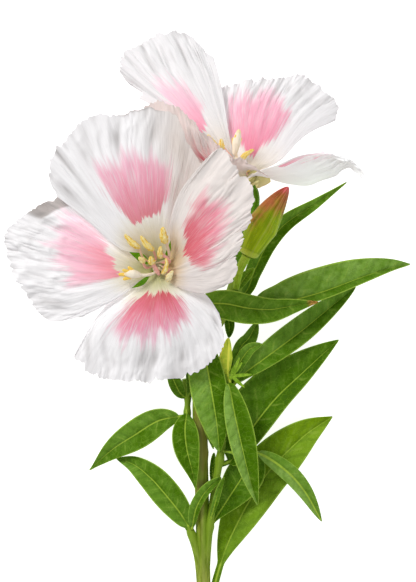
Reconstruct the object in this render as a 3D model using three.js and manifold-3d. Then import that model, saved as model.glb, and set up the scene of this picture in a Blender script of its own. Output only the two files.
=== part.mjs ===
// A cut stem of godetia, laid on a table with its blooms facing up: two open blooms, a coloured
// bud, a small green bud and their leaves. Millimetres, +Z up, +Y from the cut end to the blooms.
// The origin is on the table, under the middle of the plant.

import * as THREE from 'three';
import { mergeVertices } from 'three/addons/utils/BufferGeometryUtils.js';
import Module from 'manifold-3d';

const wasm = await Module();
wasm.setup();

// Driving sizes, in millimetres
const BLOOM_WIDTH = 72.5; // the front bloom, from its left petal's rim to its right petal's
const PETAL_THICKNESS = 0.6;
const LEAF_THICKNESS = 0.6;
const SEAT_GAP = 0.3; // between two pieces that grow from each other
const MOUTH_RADIUS = 2.4; // the flower tube's mouth, where petals and stamens sit
const CLAW_RADIUS = 2.0; // from the tube's axis to a petal's narrow foot
const CLAW_HALF_WIDTH = 1.05;
const STAMEN_RING_OUTER = 1.2;
const STAMEN_RING_INNER = 0.7;
const STAMEN_RING_HEIGHT = 0.7;
const FILAMENT_RADIUS = 0.3;
const STYLE_RADIUS = 0.32;
const RIM_TOOTH = 0.45; // how far the fine teeth of a petal's rim stand out
const PLEAT_HEIGHT = 0.75;

// The photograph gives the outlines: points are [pixel across, pixel down, height in mm].
const BLOOM_WIDTH_IN_PHOTO = 248; // pixels
const PIXEL = BLOOM_WIDTH / BLOOM_WIDTH_IN_PHOTO; // one pixel, in millimetres
const MIDDLE_IN_PHOTO = { across: 208.7, down: 352.8 }; // the pixel over the origin

// Facets
const LARGE_LEAF_STEPS = { along: 10, across: 4 };
const SMALL_LEAF_STEPS = { along: 7, across: 2 };
const PETAL_STEPS = { along: 6, across: 20 };
const SHOOT_SIDES = 8;
const SHOOT_STEP = 4.5; // between two sections of a shoot

const COLOURS = {
  shoot: 0x6f7a33,
  leaf: 0x3f6b17,
  petal: 0xf3efee,
  filament: 0xe2a08f,
  style: 0xf1e8c4,
  sepal: 0x8b8f4a,
  ovary: 0x4d7a1c,
  bud: 0xa5652f,
  youngBud: 0xc2c93a,
};

// A shoot is a route from its foot to its tip and its radius at both ends.
const SHOOTS = {
  main: {
    route: [
      [204, 675, 1.95], [203.5, 630, 3.5], [203.5, 582, 6.4], [203, 540, 9], [202, 500, 10.8],
      [201, 450, 12.6], [200, 400, 13.4], [205, 352, 14], [218, 318, 14.2], [230, 300, 13.8],
      [236, 285, 12.4],
    ],
    radii: [1.9, 1.55],
  },
  right: {
    route: [
      [205.5, 612, 4.6], [207, 565, 8], [209.5, 530, 10.6], [212.5, 505, 12], [217, 475, 13],
      [221, 450, 13.4], [224, 420, 13.8], [226.5, 394, 14.4], [226.5, 382, 15], [225.4, 373.5, 15.6],
    ],
    radii: [0.95, 1.1],
  },
  leftLow: {
    route: [[201.5, 612, 4.4], [199.5, 570, 7.4], [195.5, 547, 9.1], [188.5, 527, 10.2]],
    radii: [1, 1.3],
  },
  leftHigh: {
    route: [
      [200, 476, 11.6], [193.5, 450, 12], [188.5, 428, 12.4], [187, 413, 12.8], [187.5, 397, 14],
      [184.5, 379, 15.2],
    ],
    radii: [0.9, 0.75],
  },
  bloomStalk: {
    route: [[201, 386, 13.4], [194, 357, 14], [186, 334, 14.8], [180, 319, 15.6]],
    radii: [1.3, 1.15],
  },
};

// A leaf grows from a point of a shoot. The rib's points follow, and then the blade's half widths
// in mm to the left and the right of the rib, its widest place and how full its outline is.
// The lift raises each edge over the rib, and the wave bends the edges up and down. The petiole is
// the share of the length that is a bare stalk, and the foot is the stalk's half width.
const LEAVES = {
  leaf_right_long: {
    from: ['main', 0.95], rib: [[256, 301.5, 14.2], [283, 302, 14], [320, 293, 12.4],
      [359.5, 278.5, 9], [389.5, 268.5, 4.6], [411, 264, 0.3]],
    half: [7.4, 2.1], widest: 0.38, full: 1.6, lift: [0.8, 1.8], petiole: 0.12,
  },
  leaf_right_curled: {
    from: ['main', 0.88], rib: [[207, 306, 16.8], [224, 303.5, 18], [248, 308, 18.6],
      [270, 309.5, 18.2], [294, 305.5, 17.2], [318, 302, 16.4]],
    half: [4.1, 4.8], widest: 0.34, full: 1.6, lift: [1.4, 0.8], wave: 0.6,
  },
  leaf_right_upper: {
    from: ['right', 0.93], rib: [[244, 374, 12.8], [264, 359, 12], [300, 332.5, 8.6],
      [329.5, 308.5, 6], [356, 287, 4]],
    half: [4.4, 3.5], widest: 0.48, full: 1.6, lift: [1, 1],
  },
  leaf_right_middle: {
    from: ['right', 0.62], rib: [[233, 459, 10.8], [243.5, 440.5, 9.8], [273.5, 401.5, 7.8],
      [302, 374, 7], [339, 340, 5]],
    half: [10.1, 4.3], widest: 0.33, full: 1.4, lift: [1.2, 1], foot: 0.8,
  },
  leaf_right_lower: {
    from: ['main', 0.1], rib: [[216, 616, 4.2], [215.6, 594, 5], [217, 571.5, 5.6],
      [230, 541.5, 5.6], [253, 497.5, 5.2], [271.5, 469.5, 4.8], [304, 437, 4.2], [333, 417, 3.4]],
    half: [8.1, 6.4], widest: 0.5, full: 1.9, lift: [0.8, 1],
    petiole: 0.3, foot: 0.95,
  },
  leaf_right_drooping: {
    from: ['right', 0.68], rib: [[236, 453, 14.8], [258, 453, 13.8], [285, 470, 12],
      [305, 492, 10], [322, 522, 8]],
    half: [2.7, 2.5], widest: 0.41, full: 1.6, lift: [-0.6, -0.8], petiole: 0.27,
  },
  leaf_front_hanging: {
    from: ['right', 0.95], rib: [[234, 394, 19], [236.5, 412, 19.5], [242.5, 444, 18.8],
      [250, 477, 17.2], [257.5, 505, 15.6]],
    half: [3.9, 4.1], widest: 0.41, full: 1.85, lift: [0.9, 1.1],
  },
  leaf_right_shaded: {
    from: ['right', 0.36], rib: [[218, 515, 9.4], [229, 498, 8.6], [242, 478, 8.2],
      [258, 452, 7.8]],
    half: [5.2, 6], widest: 0.66, full: 2, lift: [0.6, 0.6],
  },
  leaf_centre_hanging: {
    from: ['main', 0.87], rib: [[203, 345, 18], [207, 366, 18.3], [212, 394, 18.2],
      [217, 425, 17.4], [219.5, 452, 16.6]],
    half: [4.7, 6.1], widest: 0.44, full: 1.5, lift: [0.2, 0.2],
  },
  leaf_left_upper: {
    from: ['leftHigh', 0.62], rib: [[159.5, 420.5, 11.4], [135, 435, 8.8], [111.5, 450.5, 5],
      [89, 471, 0.3]],
    half: [4.6, 4.3], widest: 0.37, full: 2, lift: [0.9, 0.9], foot: 0.5,
  },
  leaf_left_lower: {
    from: ['leftLow', 1.0], rib: [[178.5, 511.5, 9.4], [164, 493.5, 8.8], [151, 479, 7.6],
      [134, 465.5, 5.4], [116, 459, 3]],
    half: [4, 4.6], widest: 0.4, full: 1.6, lift: [0.8, 0.8], petiole: 0.03, foot: 1.2,
  },
  leaf_left_hanging: {
    from: ['leftHigh', 0.68], rib: [[185, 430, 16.6], [187, 450, 16.8], [192, 470, 16.4],
      [196, 490, 15.6]],
    half: [4, 3.9], widest: 0.35, full: 2.2, lift: [0.7, 0.7],
  },
  leaf_behind_bud: {
    from: ['main', 0.93], rib: [[246.5, 291, 10.7], [254.5, 271, 9.6], [268, 244, 9],
      [286.5, 223, 8.8], [315.5, 204, 8.4], [347, 182, 8]],
    half: [2.9, 2.5], widest: 0.4, full: 2.1, lift: [0.8, 0.8],
  },
};

const SMALL_LEAVES = {
  leaf_small_crossing: {
    from: ['leftLow', 0.96], rib: [[196, 509, 13.8], [206, 491.5, 14.6], [221, 477.5, 15]],
    half: [2.1, 1.3], widest: 0.46, full: 1.1, lift: [0.5, 0.5],
  },
  leaf_small_narrow: {
    from: ['right', 0.4], rib: [[214, 507, 14.8], [219, 490, 15.8], [224, 477, 16.4]],
    half: [0.9, 0.9], widest: 0.5, full: 1.6, lift: [0.3, 0.3],
  },
  leaf_small_shoot: {
    from: ['right', 0.52], rib: [[212.6, 478, 11], [212.6, 466, 11], [214, 453, 11.4]],
    half: [0.8, 0.9], widest: 0.5, full: 1.7, lift: [0.4, 0.4],
  },
  leaf_small_stem: {
    from: ['main', 0.755], rib: [[205, 404, 15.9], [207.5, 426, 15.8], [213.5, 449, 15.2]],
    half: [1.4, 1.6], widest: 0.4, full: 1.6, lift: [0.3, 0.3],
  },
  leaf_small_under_bud: {
    from: ['main', 0.985], rib: [[247, 281, 14.4], [258, 272, 15.2]],
    half: [1.2, 1.2], widest: 0.45, full: 1.6, lift: [0.4, 0.4],
  },
  leaf_small_grey: {
    from: ['right', 0.96], rib: [[237, 369, 14.2], [242, 359, 14.4], [250, 349, 14.4],
      [262, 344, 14.2]],
    half: [1.9, 1.8], widest: 0.55, full: 1.8, lift: [0.5, 0.5],
  },
  leaf_small_behind: {
    from: ['right', 0.88], rib: [[239, 352, 10.6], [249, 338, 10.2], [257.5, 322, 10]],
    half: [2, 2.8], widest: 0.6, full: 1.8, lift: [0.5, 0.5],
  },
  leaf_small_dark: {
    from: ['main', 0.92], rib: [[227, 312, 11], [229, 324, 10.8], [229, 338, 10.6]],
    half: [1.7, 1.3], widest: 0.5, full: 1.8, lift: [0.4, 0.4],
  },
  leaf_small_left: {
    from: ['leftHigh', 0.8], rib: [[180, 393, 15.2], [174.5, 382, 16.4], [169, 370, 17]],
    half: [1.9, 2.1], widest: 0.5, full: 1.7, lift: [0.4, 0.4],
  },
  leaf_small_tip: {
    from: ['leftHigh', 0.82], rib: [[190.5, 388, 15.8], [190, 374, 16.6], [189.5, 362, 16.8]],
    half: [1.3, 1.3], widest: 0.45, full: 1.7, lift: [0.3, 0.3],
  },
};

// The tiny leaves of the tuft beside the small bud
const TUFT = {
  from: [231.5, 376, 16.9],
  core: [[229.8, 379, 17], [231.5, 376, 17], [233.5, 372, 17.2]],
  coreRadius: 0.6,
  tips: [[239, 358, 18.4], [244, 361, 17.6], [247, 371, 17], [246, 381, 16.6], [244, 388, 16.8]],
  half: 0.75,
  arch: 0.4,
};

// A bloom's tube runs from its stalk to its mouth, where it faces the way that the bloom looks.
// A petal has its foot's angle round the mouth, its outline going clockwise (its left edge outward,
// its rim, and its right edge outward), and how far it bulges.
const BLOOMS = {
  front: {
    tube: { route: [[179, 317, 15.9], [172, 302, 17.4], [163, 286, 19.6], [158, 275, 22.4],
      [157, 270, 25]], radius: 1.45 },
    petals: {
      upper: {
        angle: 95, bulge: 1.5, pleats: 5, turn: 0.6,
        left: [[143, 253, 27.5], [121, 244, 30], [85, 218, 31.6]],
        rim: [[58, 197, 32], [51, 178, 33], [55, 150, 35], [74, 131, 36], [97, 116, 36], [119, 115, 36],
          [139, 106, 35.5], [158, 110, 34.5], [175, 117, 33.5], [190, 143, 32.5], [203, 166, 32]],
        right: [[167, 250, 27.2], [175, 230, 29], [190, 200, 31]],
      },
      right: {
        angle: -3, bulge: 0.5, pleats: 4, turn: 2.1,
        left: [[171, 250, 28.5], [170, 225, 33.5], [180, 193, 37]],
        rim: [[203, 163, 40], [220, 150, 41.5], [235, 166, 43], [249, 181, 43.5], [254, 198, 43.5],
          [251, 217, 43], [242, 238, 41.5], [236, 258, 39], [234, 276, 36.5], [223, 287, 34]],
        right: [[177, 282, 28], [190, 288, 30], [206, 291, 32]],
      },
      lower: {
        angle: -90, bulge: 4.5, pleats: 5, turn: 1.3,
        left: [[176, 285, 26], [190, 288, 25.5], [206, 296, 25]],
        rim: [[219, 313, 25], [224, 335, 25], [220, 353, 24.5], [203, 368, 24], [182, 377, 23.5],
          [150, 381, 23], [115, 381, 23], [91, 374, 23], [76, 360, 23.5], [80, 344, 24], [93, 326, 24.5]],
        right: [[142, 285, 25.8], [128, 292, 25.2], [110, 303, 25]],
      },
      left: {
        angle: 182, bulge: 1, pleats: 5, turn: 0.2,
        left: [[140, 281, 26.8], [126, 293, 27.5], [104, 306, 28]],
        rim: [[83, 317, 28], [56, 321, 27.5], [34, 306, 27.5], [17, 281, 28], [8, 250, 28.5],
          [9, 229, 29], [27, 214, 29.5], [45, 203, 29.5], [66, 197, 29.3]],
        right: [[139, 262, 26.5], [122, 248, 27.3], [96, 224, 28.5]],
      },
    },
    // Each anther's foot and tip, and the angle at which its filament leaves the mouth
    stamens: [
      { angle: 150, foot: [140, 247, 32.5], tip: [126, 235, 34.5] },
      { angle: 115, foot: [154, 249, 33], tip: [142, 236, 35.5] },
      { angle: 60, foot: [167, 243, 34], tip: [163, 228, 36.5] },
      { angle: 88, foot: [160, 257, 32], tip: [161, 246, 34.5] },
      { angle: 185, foot: [144, 263, 30.5], tip: [141, 255, 32.5] },
      { angle: 235, foot: [154, 266, 31], tip: [151, 256, 33.5] },
      { angle: 20, foot: [164, 269, 30], tip: [165, 259, 33] },
      { angle: 320, foot: [168, 280, 29], tip: [173, 271, 31] },
    ],
    style: { route: [[156, 272, 27.5], [148, 275, 29.6], [138, 275, 31]],
      lobes: [[119, 274, 31.6], [128, 267, 32.4], [123, 279, 31.8], [125, 271, 33]] },
    sepalHalf: 1.8,
    sepals: [
      { angle: 140, rib: [[137, 256, 22.2], [120, 240, 21.4], [104, 226, 20.6]] },
      { angle: 52, rib: [[174, 247, 22.2], [182, 228, 21.4], [188, 210, 20.6]] },
      { angle: -40, rib: [[172, 284, 22.2], [186, 296, 21.4], [198, 308, 20.6]] },
      { angle: 220, rib: [[142, 286, 22], [128, 300, 21], [118, 316, 20]] },
    ],
  },
  back: {
    tube: { route: [[236.5, 282.5, 12], [238, 262, 10.4], [244, 232, 9.8], [254, 207, 11.2],
      [255, 193, 13], [250.8, 184.5, 14.5], [247, 177, 16.2]], radius: 1.4 },
    petals: {
      left: {
        angle: 135, bulge: 0.8, pleats: 5, turn: 0.9,
        left: [[220, 152, 14.5], [190, 128, 13], [160, 110, 11.5]],
        rim: [[139, 98, 10], [141, 90, 9.4], [122, 76, 7], [122, 58, 5], [140, 44, 3], [163, 33, 1.3],
          [184, 32, 1], [200, 45, 2.4], [214, 57, 4.6]],
        right: [[231, 160, 14.6], [226, 130, 12.6], [222, 90, 8.6]],
      },
      right: {
        angle: 45, bulge: 0.8, pleats: 5, turn: 1.7,
        left: [[240, 157, 12.6], [230, 128, 9.4], [222, 102, 7]],
        rim: [[220, 87, 6], [247, 80, 5], [284, 76, 4], [304, 75, 3.4], [323, 88, 3], [338, 104, 3],
          [336, 120, 4]],
        right: [[262, 170, 15.2], [281, 160, 12], [306, 135, 8.6]],
      },
      side: {
        angle: -45, bulge: 0, pleats: 3, turn: 0.4,
        left: [[260, 175.5, 17.6], [275, 180.5, 13.4], [290, 184, 9]],
        rim: [[305, 185, 6], [327, 180, 6.4], [338, 174, 8.8], [345.5, 168.5, 12], [353, 170, 14.6],
          [364, 180, 15.6], [356, 167, 18], [340, 159, 20], [320, 153, 21.6]],
        right: [[259, 171, 18.8], [276, 165.5, 20.4], [296, 157, 21.8]],
      },
      front: {
        angle: -135, bulge: 0, pleats: 4, turn: 2.6,
        left: [[250, 178, 19.4], [257, 178, 20.8], [264, 177, 22]],
        rim: [[270, 176, 23], [250, 166, 25], [227, 154, 26], [207, 138, 26], [192, 121, 25.4],
          [176, 108, 24.4], [158, 103, 23.4], [144, 107, 22]],
        right: [[222, 180, 18.6], [190, 170, 19.4], [158, 146, 20.4]],
      },
    },
    stamens: [
      { angle: 120, foot: [223, 149, 18.4], tip: [222, 139, 20] },
      { angle: 160, foot: [217, 146, 17.4], tip: [210, 135, 18.6] },
      { angle: 60, foot: [241, 162, 20], tip: [253, 150, 22] },
      { angle: 20, foot: [251, 164, 18.6], tip: [259, 157, 20.2] },
      { angle: 95, foot: [236, 160, 17], tip: [232, 150, 18] },
      { angle: 200, foot: [229, 160, 19.6], tip: [225, 152, 21.4] },
      { angle: 300, foot: [247, 165, 20.8], tip: [249, 156, 22.8] },
      { angle: 250, foot: [238, 165, 21], tip: [238, 157, 22.8] },
    ],
    style: { route: [[243, 170, 17.6], [238, 162, 18.6], [235, 152, 19.4]],
      lobes: [[239, 133, 21], [236, 135, 22.4], [241, 138, 19.8], [233, 138, 20]] },
    sepalHalf: 1.2,
    sepals: [
      { angle: -60, rib: [[259, 184, 17], [265, 183, 15.9], [270.5, 182, 14.9]] },
      { angle: 190, rib: [[231, 180, 15.4], [225, 184, 14.8], [219, 189, 14.2]] },
    ],
  },
};
const SEPAL = { widest: 0.4, full: 1.7 };

// Buds: a route from foot to tip, the widest radius and where it is, and the ridges of the sepals
const BUD_OVARY = { route: [[236, 289, 15.8], [240, 272, 16.9], [246, 257, 17.8]], radii: [1.15, 1.7] };
const BUD = { route: [[246.7, 255.7, 17.9], [259, 233, 18.4], [272.5, 210, 18.8], [288, 186, 19]],
  radius: 4.6, foot: 2.6, widest: 0.42, rise: 0.65, taper: 0.52, ridge: 0.05 };
const SMALL_BUD = { route: [[225.3, 371.3, 16], [226, 355, 17], [228.4, 338, 17.4]], radius: 1.75,
  foot: 0.7, widest: 0.4, rise: 0.6, taper: 0.7, ridge: 0.08 };
const ANTHER = { radius: 0.85, foot: 0.2, widest: 0.45, rise: 0.3, taper: 0.4, ridge: 0 };
const STIGMA_LOBE = { radius: 0.6, foot: 0.2, widest: 0.5, rise: 0.4, taper: 0.5, ridge: 0 };

const plant = new THREE.Group();

// A point of the photograph at a height over the table
function at([across, down, height]) {
  const x = (across - MIDDLE_IN_PHOTO.across) * PIXEL;
  const y = (MIDDLE_IN_PHOTO.down - down) * PIXEL;
  return new THREE.Vector3(x, y, height);
}

// A smooth curve through a list of points
function curveThrough(points) {
  return new THREE.CatmullRomCurve3(points, false, 'catmullrom', 0.5);
}

// 0 at both ends of a blade or a bud and 1 near its widest place
function outline(u, widest, rise, taper) {
  return Math.pow(Math.min(1, u / widest), rise) * Math.pow(Math.min(1, (1 - u) / (1 - widest)), taper);
}

// A leaf's outline has its widest place where both of its halves balance
function leafOutline(u, widest, full) {
  const foot = Math.pow(u / widest, full * widest);
  const tip = Math.pow((1 - u) / (1 - widest), full * (1 - widest));
  return foot * tip;
}

function geometryFrom(positions, triangles) {
  const geometry = new THREE.BufferGeometry();
  geometry.setAttribute('position', new THREE.Float32BufferAttribute(positions, 3));
  geometry.setIndex(triangles);
  return geometry;
}

function addPiece(name, geometry, colour, roughness = 0.6) {
  const material = new THREE.MeshStandardMaterial({ color: colour, roughness, metalness: 0 });
  const mesh = new THREE.Mesh(geometry, material);
  mesh.name = name;
  plant.add(mesh);
  return mesh;
}

function toSolid(geometry) {
  const bare = geometry.clone();
  bare.deleteAttribute('normal');
  bare.deleteAttribute('uv');
  const merged = mergeVertices(bare, 1e-4);
  return new wasm.Manifold(new wasm.Mesh({
    numProp: 3,
    vertProperties: new Float32Array(merged.attributes.position.array),
    triVerts: new Uint32Array(merged.index.array),
  }));
}

// Joins closed geometries into one
function fuse(geometries) {
  let solid = toSolid(geometries[0]);
  for (const geometry of geometries.slice(1)) {
    solid = solid.add(toSolid(geometry));
  }
  const mesh = solid.getMesh();
  const positions = [];
  for (let i = 0; i < mesh.vertProperties.length; i += mesh.numProp) {
    positions.push(...mesh.vertProperties.slice(i, i + 3));
  }
  return geometryFrom(positions, Array.from(mesh.triVerts));
}

// A round rod along a curve, with its radius as a function of the way along it
function rod(curve, radiusAt, sides, steps) {
  const frames = curve.computeFrenetFrames(steps, false);
  const positions = [];
  const triangles = [];
  for (let i = 0; i <= steps; i += 1) {
    const centre = curve.getPointAt(i / steps);
    for (let j = 0; j < sides; j += 1) {
      const angle = (2 * Math.PI * (j + 0.5)) / sides;
      const point = centre.clone()
        .addScaledVector(frames.normals[i], radiusAt(i / steps, angle) * Math.cos(angle))
        .addScaledVector(frames.binormals[i], radiusAt(i / steps, angle) * Math.sin(angle));
      positions.push(...point);
    }
  }
  for (let i = 0; i < steps; i += 1) {
    for (let j = 0; j < sides; j += 1) {
      const next = (j + 1) % sides;
      const a = i * sides + j;
      const b = i * sides + next;
      triangles.push(a, b, a + sides, b, b + sides, a + sides);
    }
  }
  for (let j = 1; j < sides - 1; j += 1) {
    triangles.push(0, j + 1, j);
    const last = steps * sides;
    triangles.push(last, last + j, last + j + 1);
  }
  return geometryFrom(positions, triangles);
}

// A thin blade on both sides of surface(u, v), with u and v from 0 to 1. Both faces have the same
// triangles, so they never cross, and a narrow wall closes the edge.
function blade(surface, steps, thickness) {
  const { along, across } = steps;
  const row = across + 1;
  const faceSize = (along + 1) * row;
  const positions = [];
  for (const side of [1, -1]) {
    for (let i = 0; i <= along; i += 1) {
      for (let j = 0; j <= across; j += 1) {
        const u = i / along;
        const v = j / across;
        const point = surface(u, v);
        point.addScaledVector(surfaceNormal(surface, u, v), (side * thickness) / 2);
        positions.push(...point);
      }
    }
  }
  const triangles = [];
  const quad = (a, b, c, d) => triangles.push(a, b, c, a, c, d);
  for (let i = 0; i < along; i += 1) {
    for (let j = 0; j < across; j += 1) {
      const a = i * row + j;
      quad(a, a + 1, a + row + 1, a + row);
      const b = faceSize + a;
      triangles.push(b, b + row + 1, b + 1, b, b + row, b + row + 1);
    }
  }
  const border = [];
  for (let j = 0; j < across; j += 1) border.push(j);
  for (let i = 0; i < along; i += 1) border.push(i * row + across);
  for (let j = across; j > 0; j -= 1) border.push(along * row + j);
  for (let i = along; i > 0; i -= 1) border.push(i * row);
  for (let k = 0; k < border.length; k += 1) {
    const a = border[k];
    const b = border[(k + 1) % border.length];
    quad(b, a, a + faceSize, b + faceSize);
  }
  return geometryFrom(positions, triangles);
}

const NORMAL_STEP = 0.01;

// The upper side of a surface whose v runs clockwise, or to the right of its rib
function surfaceNormal(surface, u, v) {
  const u0 = Math.max(0, u - NORMAL_STEP);
  const u1 = Math.min(1, u + NORMAL_STEP);
  const v0 = Math.max(0, v - NORMAL_STEP);
  const v1 = Math.min(1, v + NORMAL_STEP);
  const alongU = surface(u1, v).sub(surface(u0, v));
  const alongV = surface(u, v1).sub(surface(u, v0));
  return alongV.cross(alongU).normalize();
}

const shootCurves = {};
for (const [name, shoot] of Object.entries(SHOOTS)) {
  shootCurves[name] = curveThrough(shoot.route.map(at));
}

function shootRadius(name, u) {
  const [foot, tip] = SHOOTS[name].radii;
  return foot + (tip - foot) * u;
}

function makeStem() {
  const shoots = Object.keys(SHOOTS).map((name) => {
    const curve = shootCurves[name];
    const steps = Math.round(curve.getLength() / SHOOT_STEP);
    return rod(curve, (u) => shootRadius(name, u), SHOOT_SIDES, steps);
  });
  addPiece('stem', fuse(shoots), COLOURS.shoot);
}

// The point just off a shoot's surface from which a leaf grows towards its next point, with room
// for its foot's half width
function seatOn([name, u], next, foot) {
  const curve = shootCurves[name];
  const centre = curve.getPointAt(u);
  const tangent = curve.getTangentAt(u);
  const outward = next.clone().sub(centre);
  if (u === 1) return centre.addScaledVector(outward.normalize(), SEAT_GAP + LEAF_THICKNESS / 2);
  outward.addScaledVector(tangent, -outward.dot(tangent));
  return centre.addScaledVector(outward.normalize(), shootRadius(name, u) + SEAT_GAP + foot);
}

const TIP_HALF_WIDTH = 0.15;
const USUAL_PETIOLE = 0.06;
const USUAL_FOOT = 0.45;
const USUAL_WAVE = { height: 0.25, turns: 9 };

// A leaf's middle surface: v is 0 at its left edge, 0.5 on the rib and 1 at its right edge
function leafSurface(leaf, points) {
  const curve = curveThrough(points);
  return (u, v) => {
    const side = 2 * v - 1;
    const point = curve.getPointAt(u);
    const tangent = curve.getTangentAt(u);
    const rightward = new THREE.Vector3(tangent.y, -tangent.x, 0).normalize();
    const petiole = leaf.petiole ?? USUAL_PETIOLE;
    const shape = leafOutline(Math.max(0, u - petiole) / (1 - petiole), leaf.widest, leaf.full);
    const foot = leaf.foot ?? USUAL_FOOT;
    const least = foot + (TIP_HALF_WIDTH - foot) * u;
    const which = side < 0 ? 0 : 1;
    const half = least + (leaf.half[which] - least) * shape;
    const wave = (leaf.wave ?? USUAL_WAVE.height) * Math.sin(USUAL_WAVE.turns * u + 2 * which) * shape;
    point.addScaledVector(rightward, side * half);
    point.z += Math.abs(side) * (leaf.lift[which] * shape + wave);
    return point;
  };
}

function makeLeaves(leaves, steps) {
  for (const [name, leaf] of Object.entries(leaves)) {
    const rib = leaf.rib.map(at);
    const points = [seatOn(leaf.from, rib[0], leaf.foot ?? USUAL_FOOT), ...rib];
    addPiece(name, blade(leafSurface(leaf, points), steps, LEAF_THICKNESS), COLOURS.leaf);
  }
}

function makeTuft() {
  const foot = at(TUFT.from);
  const leaf = { half: [TUFT.half, TUFT.half], widest: 0.45, full: 1.6, lift: [0.1, 0.1], wave: 0 };
  const leaves = TUFT.tips.map((tip) => {
    const end = at(tip);
    const middle = foot.clone().lerp(end, 0.5);
    middle.z += TUFT.arch;
    return blade(leafSurface(leaf, [foot, middle, end]), { along: 4, across: 2 }, LEAF_THICKNESS);
  });
  const core = rod(curveThrough(TUFT.core.map(at)), () => TUFT.coreRadius, 6, 2);
  addPiece('tuft', fuse([core, ...leaves]), COLOURS.youngBud);
}

// The mouth of a bloom's tube: its middle, the way it faces and two directions across it
function mouthOf(bloom) {
  const curve = curveThrough(bloom.tube.route.map(at));
  const axis = curve.getTangentAt(1);
  const across = new THREE.Vector3(1, 0, 0).addScaledVector(axis, -axis.x).normalize();
  return { curve, centre: curve.getPointAt(1), axis, across, up: axis.clone().cross(across) };
}

function onMouth(mouth, degrees, radius, height) {
  const angle = THREE.MathUtils.degToRad(degrees);
  return mouth.centre.clone()
    .addScaledVector(mouth.across, radius * Math.cos(angle))
    .addScaledVector(mouth.up, radius * Math.sin(angle))
    .addScaledVector(mouth.axis, height);
}

const CLAW_HALF_ANGLE = THREE.MathUtils.radToDeg(Math.asin(CLAW_HALF_WIDTH / CLAW_RADIUS));
const CLAW_CLEARANCE = 0.1; // more room under a claw, as it leans
const CLAW_HEIGHT = SEAT_GAP + PETAL_THICKNESS / 2 + CLAW_CLEARANCE;

const BULGE_END = 0.91; // a petal's bulge ends this far out
const NARROW_PLEATS = 1.7; // narrow pleats for each wide one
const NARROW_PLEAT_TURN = 2.3;

// A petal's middle surface: u goes from its claw to its rim, and v clockwise from edge to edge
function petalSurface(petal, mouth) {
  const leftFoot = onMouth(mouth, petal.angle + CLAW_HALF_ANGLE, CLAW_RADIUS, CLAW_HEIGHT);
  const rightFoot = onMouth(mouth, petal.angle - CLAW_HALF_ANGLE, CLAW_RADIUS, CLAW_HEIGHT);
  const rimPoints = petal.rim.map(at);
  const left = curveThrough([leftFoot, ...petal.left.map(at), rimPoints[0]]);
  const right = curveThrough([rightFoot, ...petal.right.map(at), rimPoints.at(-1)]);
  const rim = curveThrough(rimPoints);
  const smooth = (u, v) => {
    const sides = left.getPointAt(u).lerp(right.getPointAt(u), v);
    const straightRim = rimPoints[0].clone().lerp(rimPoints.at(-1), v);
    const point = sides.addScaledVector(rim.getPointAt(v).sub(straightRim), u);
    const alongBulge = Math.min(1, u / BULGE_END);
    point.z += petal.bulge * Math.sin(Math.PI * v) * Math.sin(Math.PI * alongBulge);
    return point;
  };
  return (u, v) => {
    const point = smooth(u, v);
    const inside = Math.sin(Math.PI * v) ** 0.5;
    const wide = Math.sin(2 * Math.PI * petal.pleats * v + petal.turn);
    const narrow = Math.sin(2 * Math.PI * NARROW_PLEATS * petal.pleats * v + NARROW_PLEAT_TURN * petal.turn);
    const pleat = wide + 0.5 * narrow;
    const height = PLEAT_HEIGHT * pleat * u ** 1.5 * inside;
    return point.addScaledVector(surfaceNormal(smooth, u, v), height);
  };
}

// The rim's fine teeth: every other point of the rim stands out a little
function toothed(surface, steps) {
  return (u, v) => {
    const point = surface(u, v);
    const tooth = Math.round(v * steps.across) % 2 === 0 ? 1 : 0;
    if (u === 1 && v > 0 && v < 1) {
      const inward = surface(1 - NORMAL_STEP, v);
      point.addScaledVector(point.clone().sub(inward).normalize(), RIM_TOOTH * tooth);
    }
    return point;
  };
}

function makePetals(bloomName, bloom, mouth) {
  for (const [name, petal] of Object.entries(bloom.petals)) {
    const surface = toothed(petalSurface(petal, mouth), PETAL_STEPS);
    addPiece(`${bloomName}_petal_${name}`, blade(surface, PETAL_STEPS, PETAL_THICKNESS), COLOURS.petal);
  }
}

const OVARY = { foot: 0.78, swell: 0.3, end: 0.87 }; // shares of the tube's radius and length
const TUBE_STEP = 2;

// The ovary and the short funnel over it
function makeTube(bloomName, bloom, mouth) {
  const radiusAt = (u) => {
    const alongOvary = Math.min(1, u / OVARY.end);
    const swell = bloom.tube.radius * (OVARY.foot + OVARY.swell * Math.sin(Math.PI * alongOvary));
    const flare = THREE.MathUtils.smoothstep(u, OVARY.end, 1);
    return swell + (MOUTH_RADIUS - swell) * flare;
  };
  const steps = Math.round(mouth.curve.getLength() / TUBE_STEP);
  addPiece(`${bloomName}_ovary`, rod(mouth.curve, radiusAt, 8, steps), COLOURS.ovary);
}

// A flat ring round the axis of the mouth
function ringOnMouth(mouth, inner, outer, bottom, top, sides) {
  const profile = [[inner, bottom], [outer, bottom], [outer, top], [inner, top], [inner, bottom]];
  const ring = new THREE.LatheGeometry(profile.map(([r, h]) => new THREE.Vector2(r, h)), sides);
  const basis = new THREE.Matrix4().makeBasis(mouth.across, mouth.axis, mouth.up.clone().negate());
  ring.applyMatrix4(basis.setPosition(mouth.centre));
  return ring;
}

const SPINDLE_TIP_RADIUS = 0.12;

// A bud, anther or lobe: a rod that swells and tapers, with four low ridges along it
function spindle(points, { radius, foot, widest, rise, taper, ridge }, sides, steps) {
  const radiusAt = (u, angle) => {
    const least = foot + (SPINDLE_TIP_RADIUS - foot) * u;
    return least + (radius - least) * outline(u, widest, rise, taper) * (1 + ridge * Math.cos(4 * angle));
  };
  return rod(curveThrough(points), radiusAt, sides, steps);
}

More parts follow.
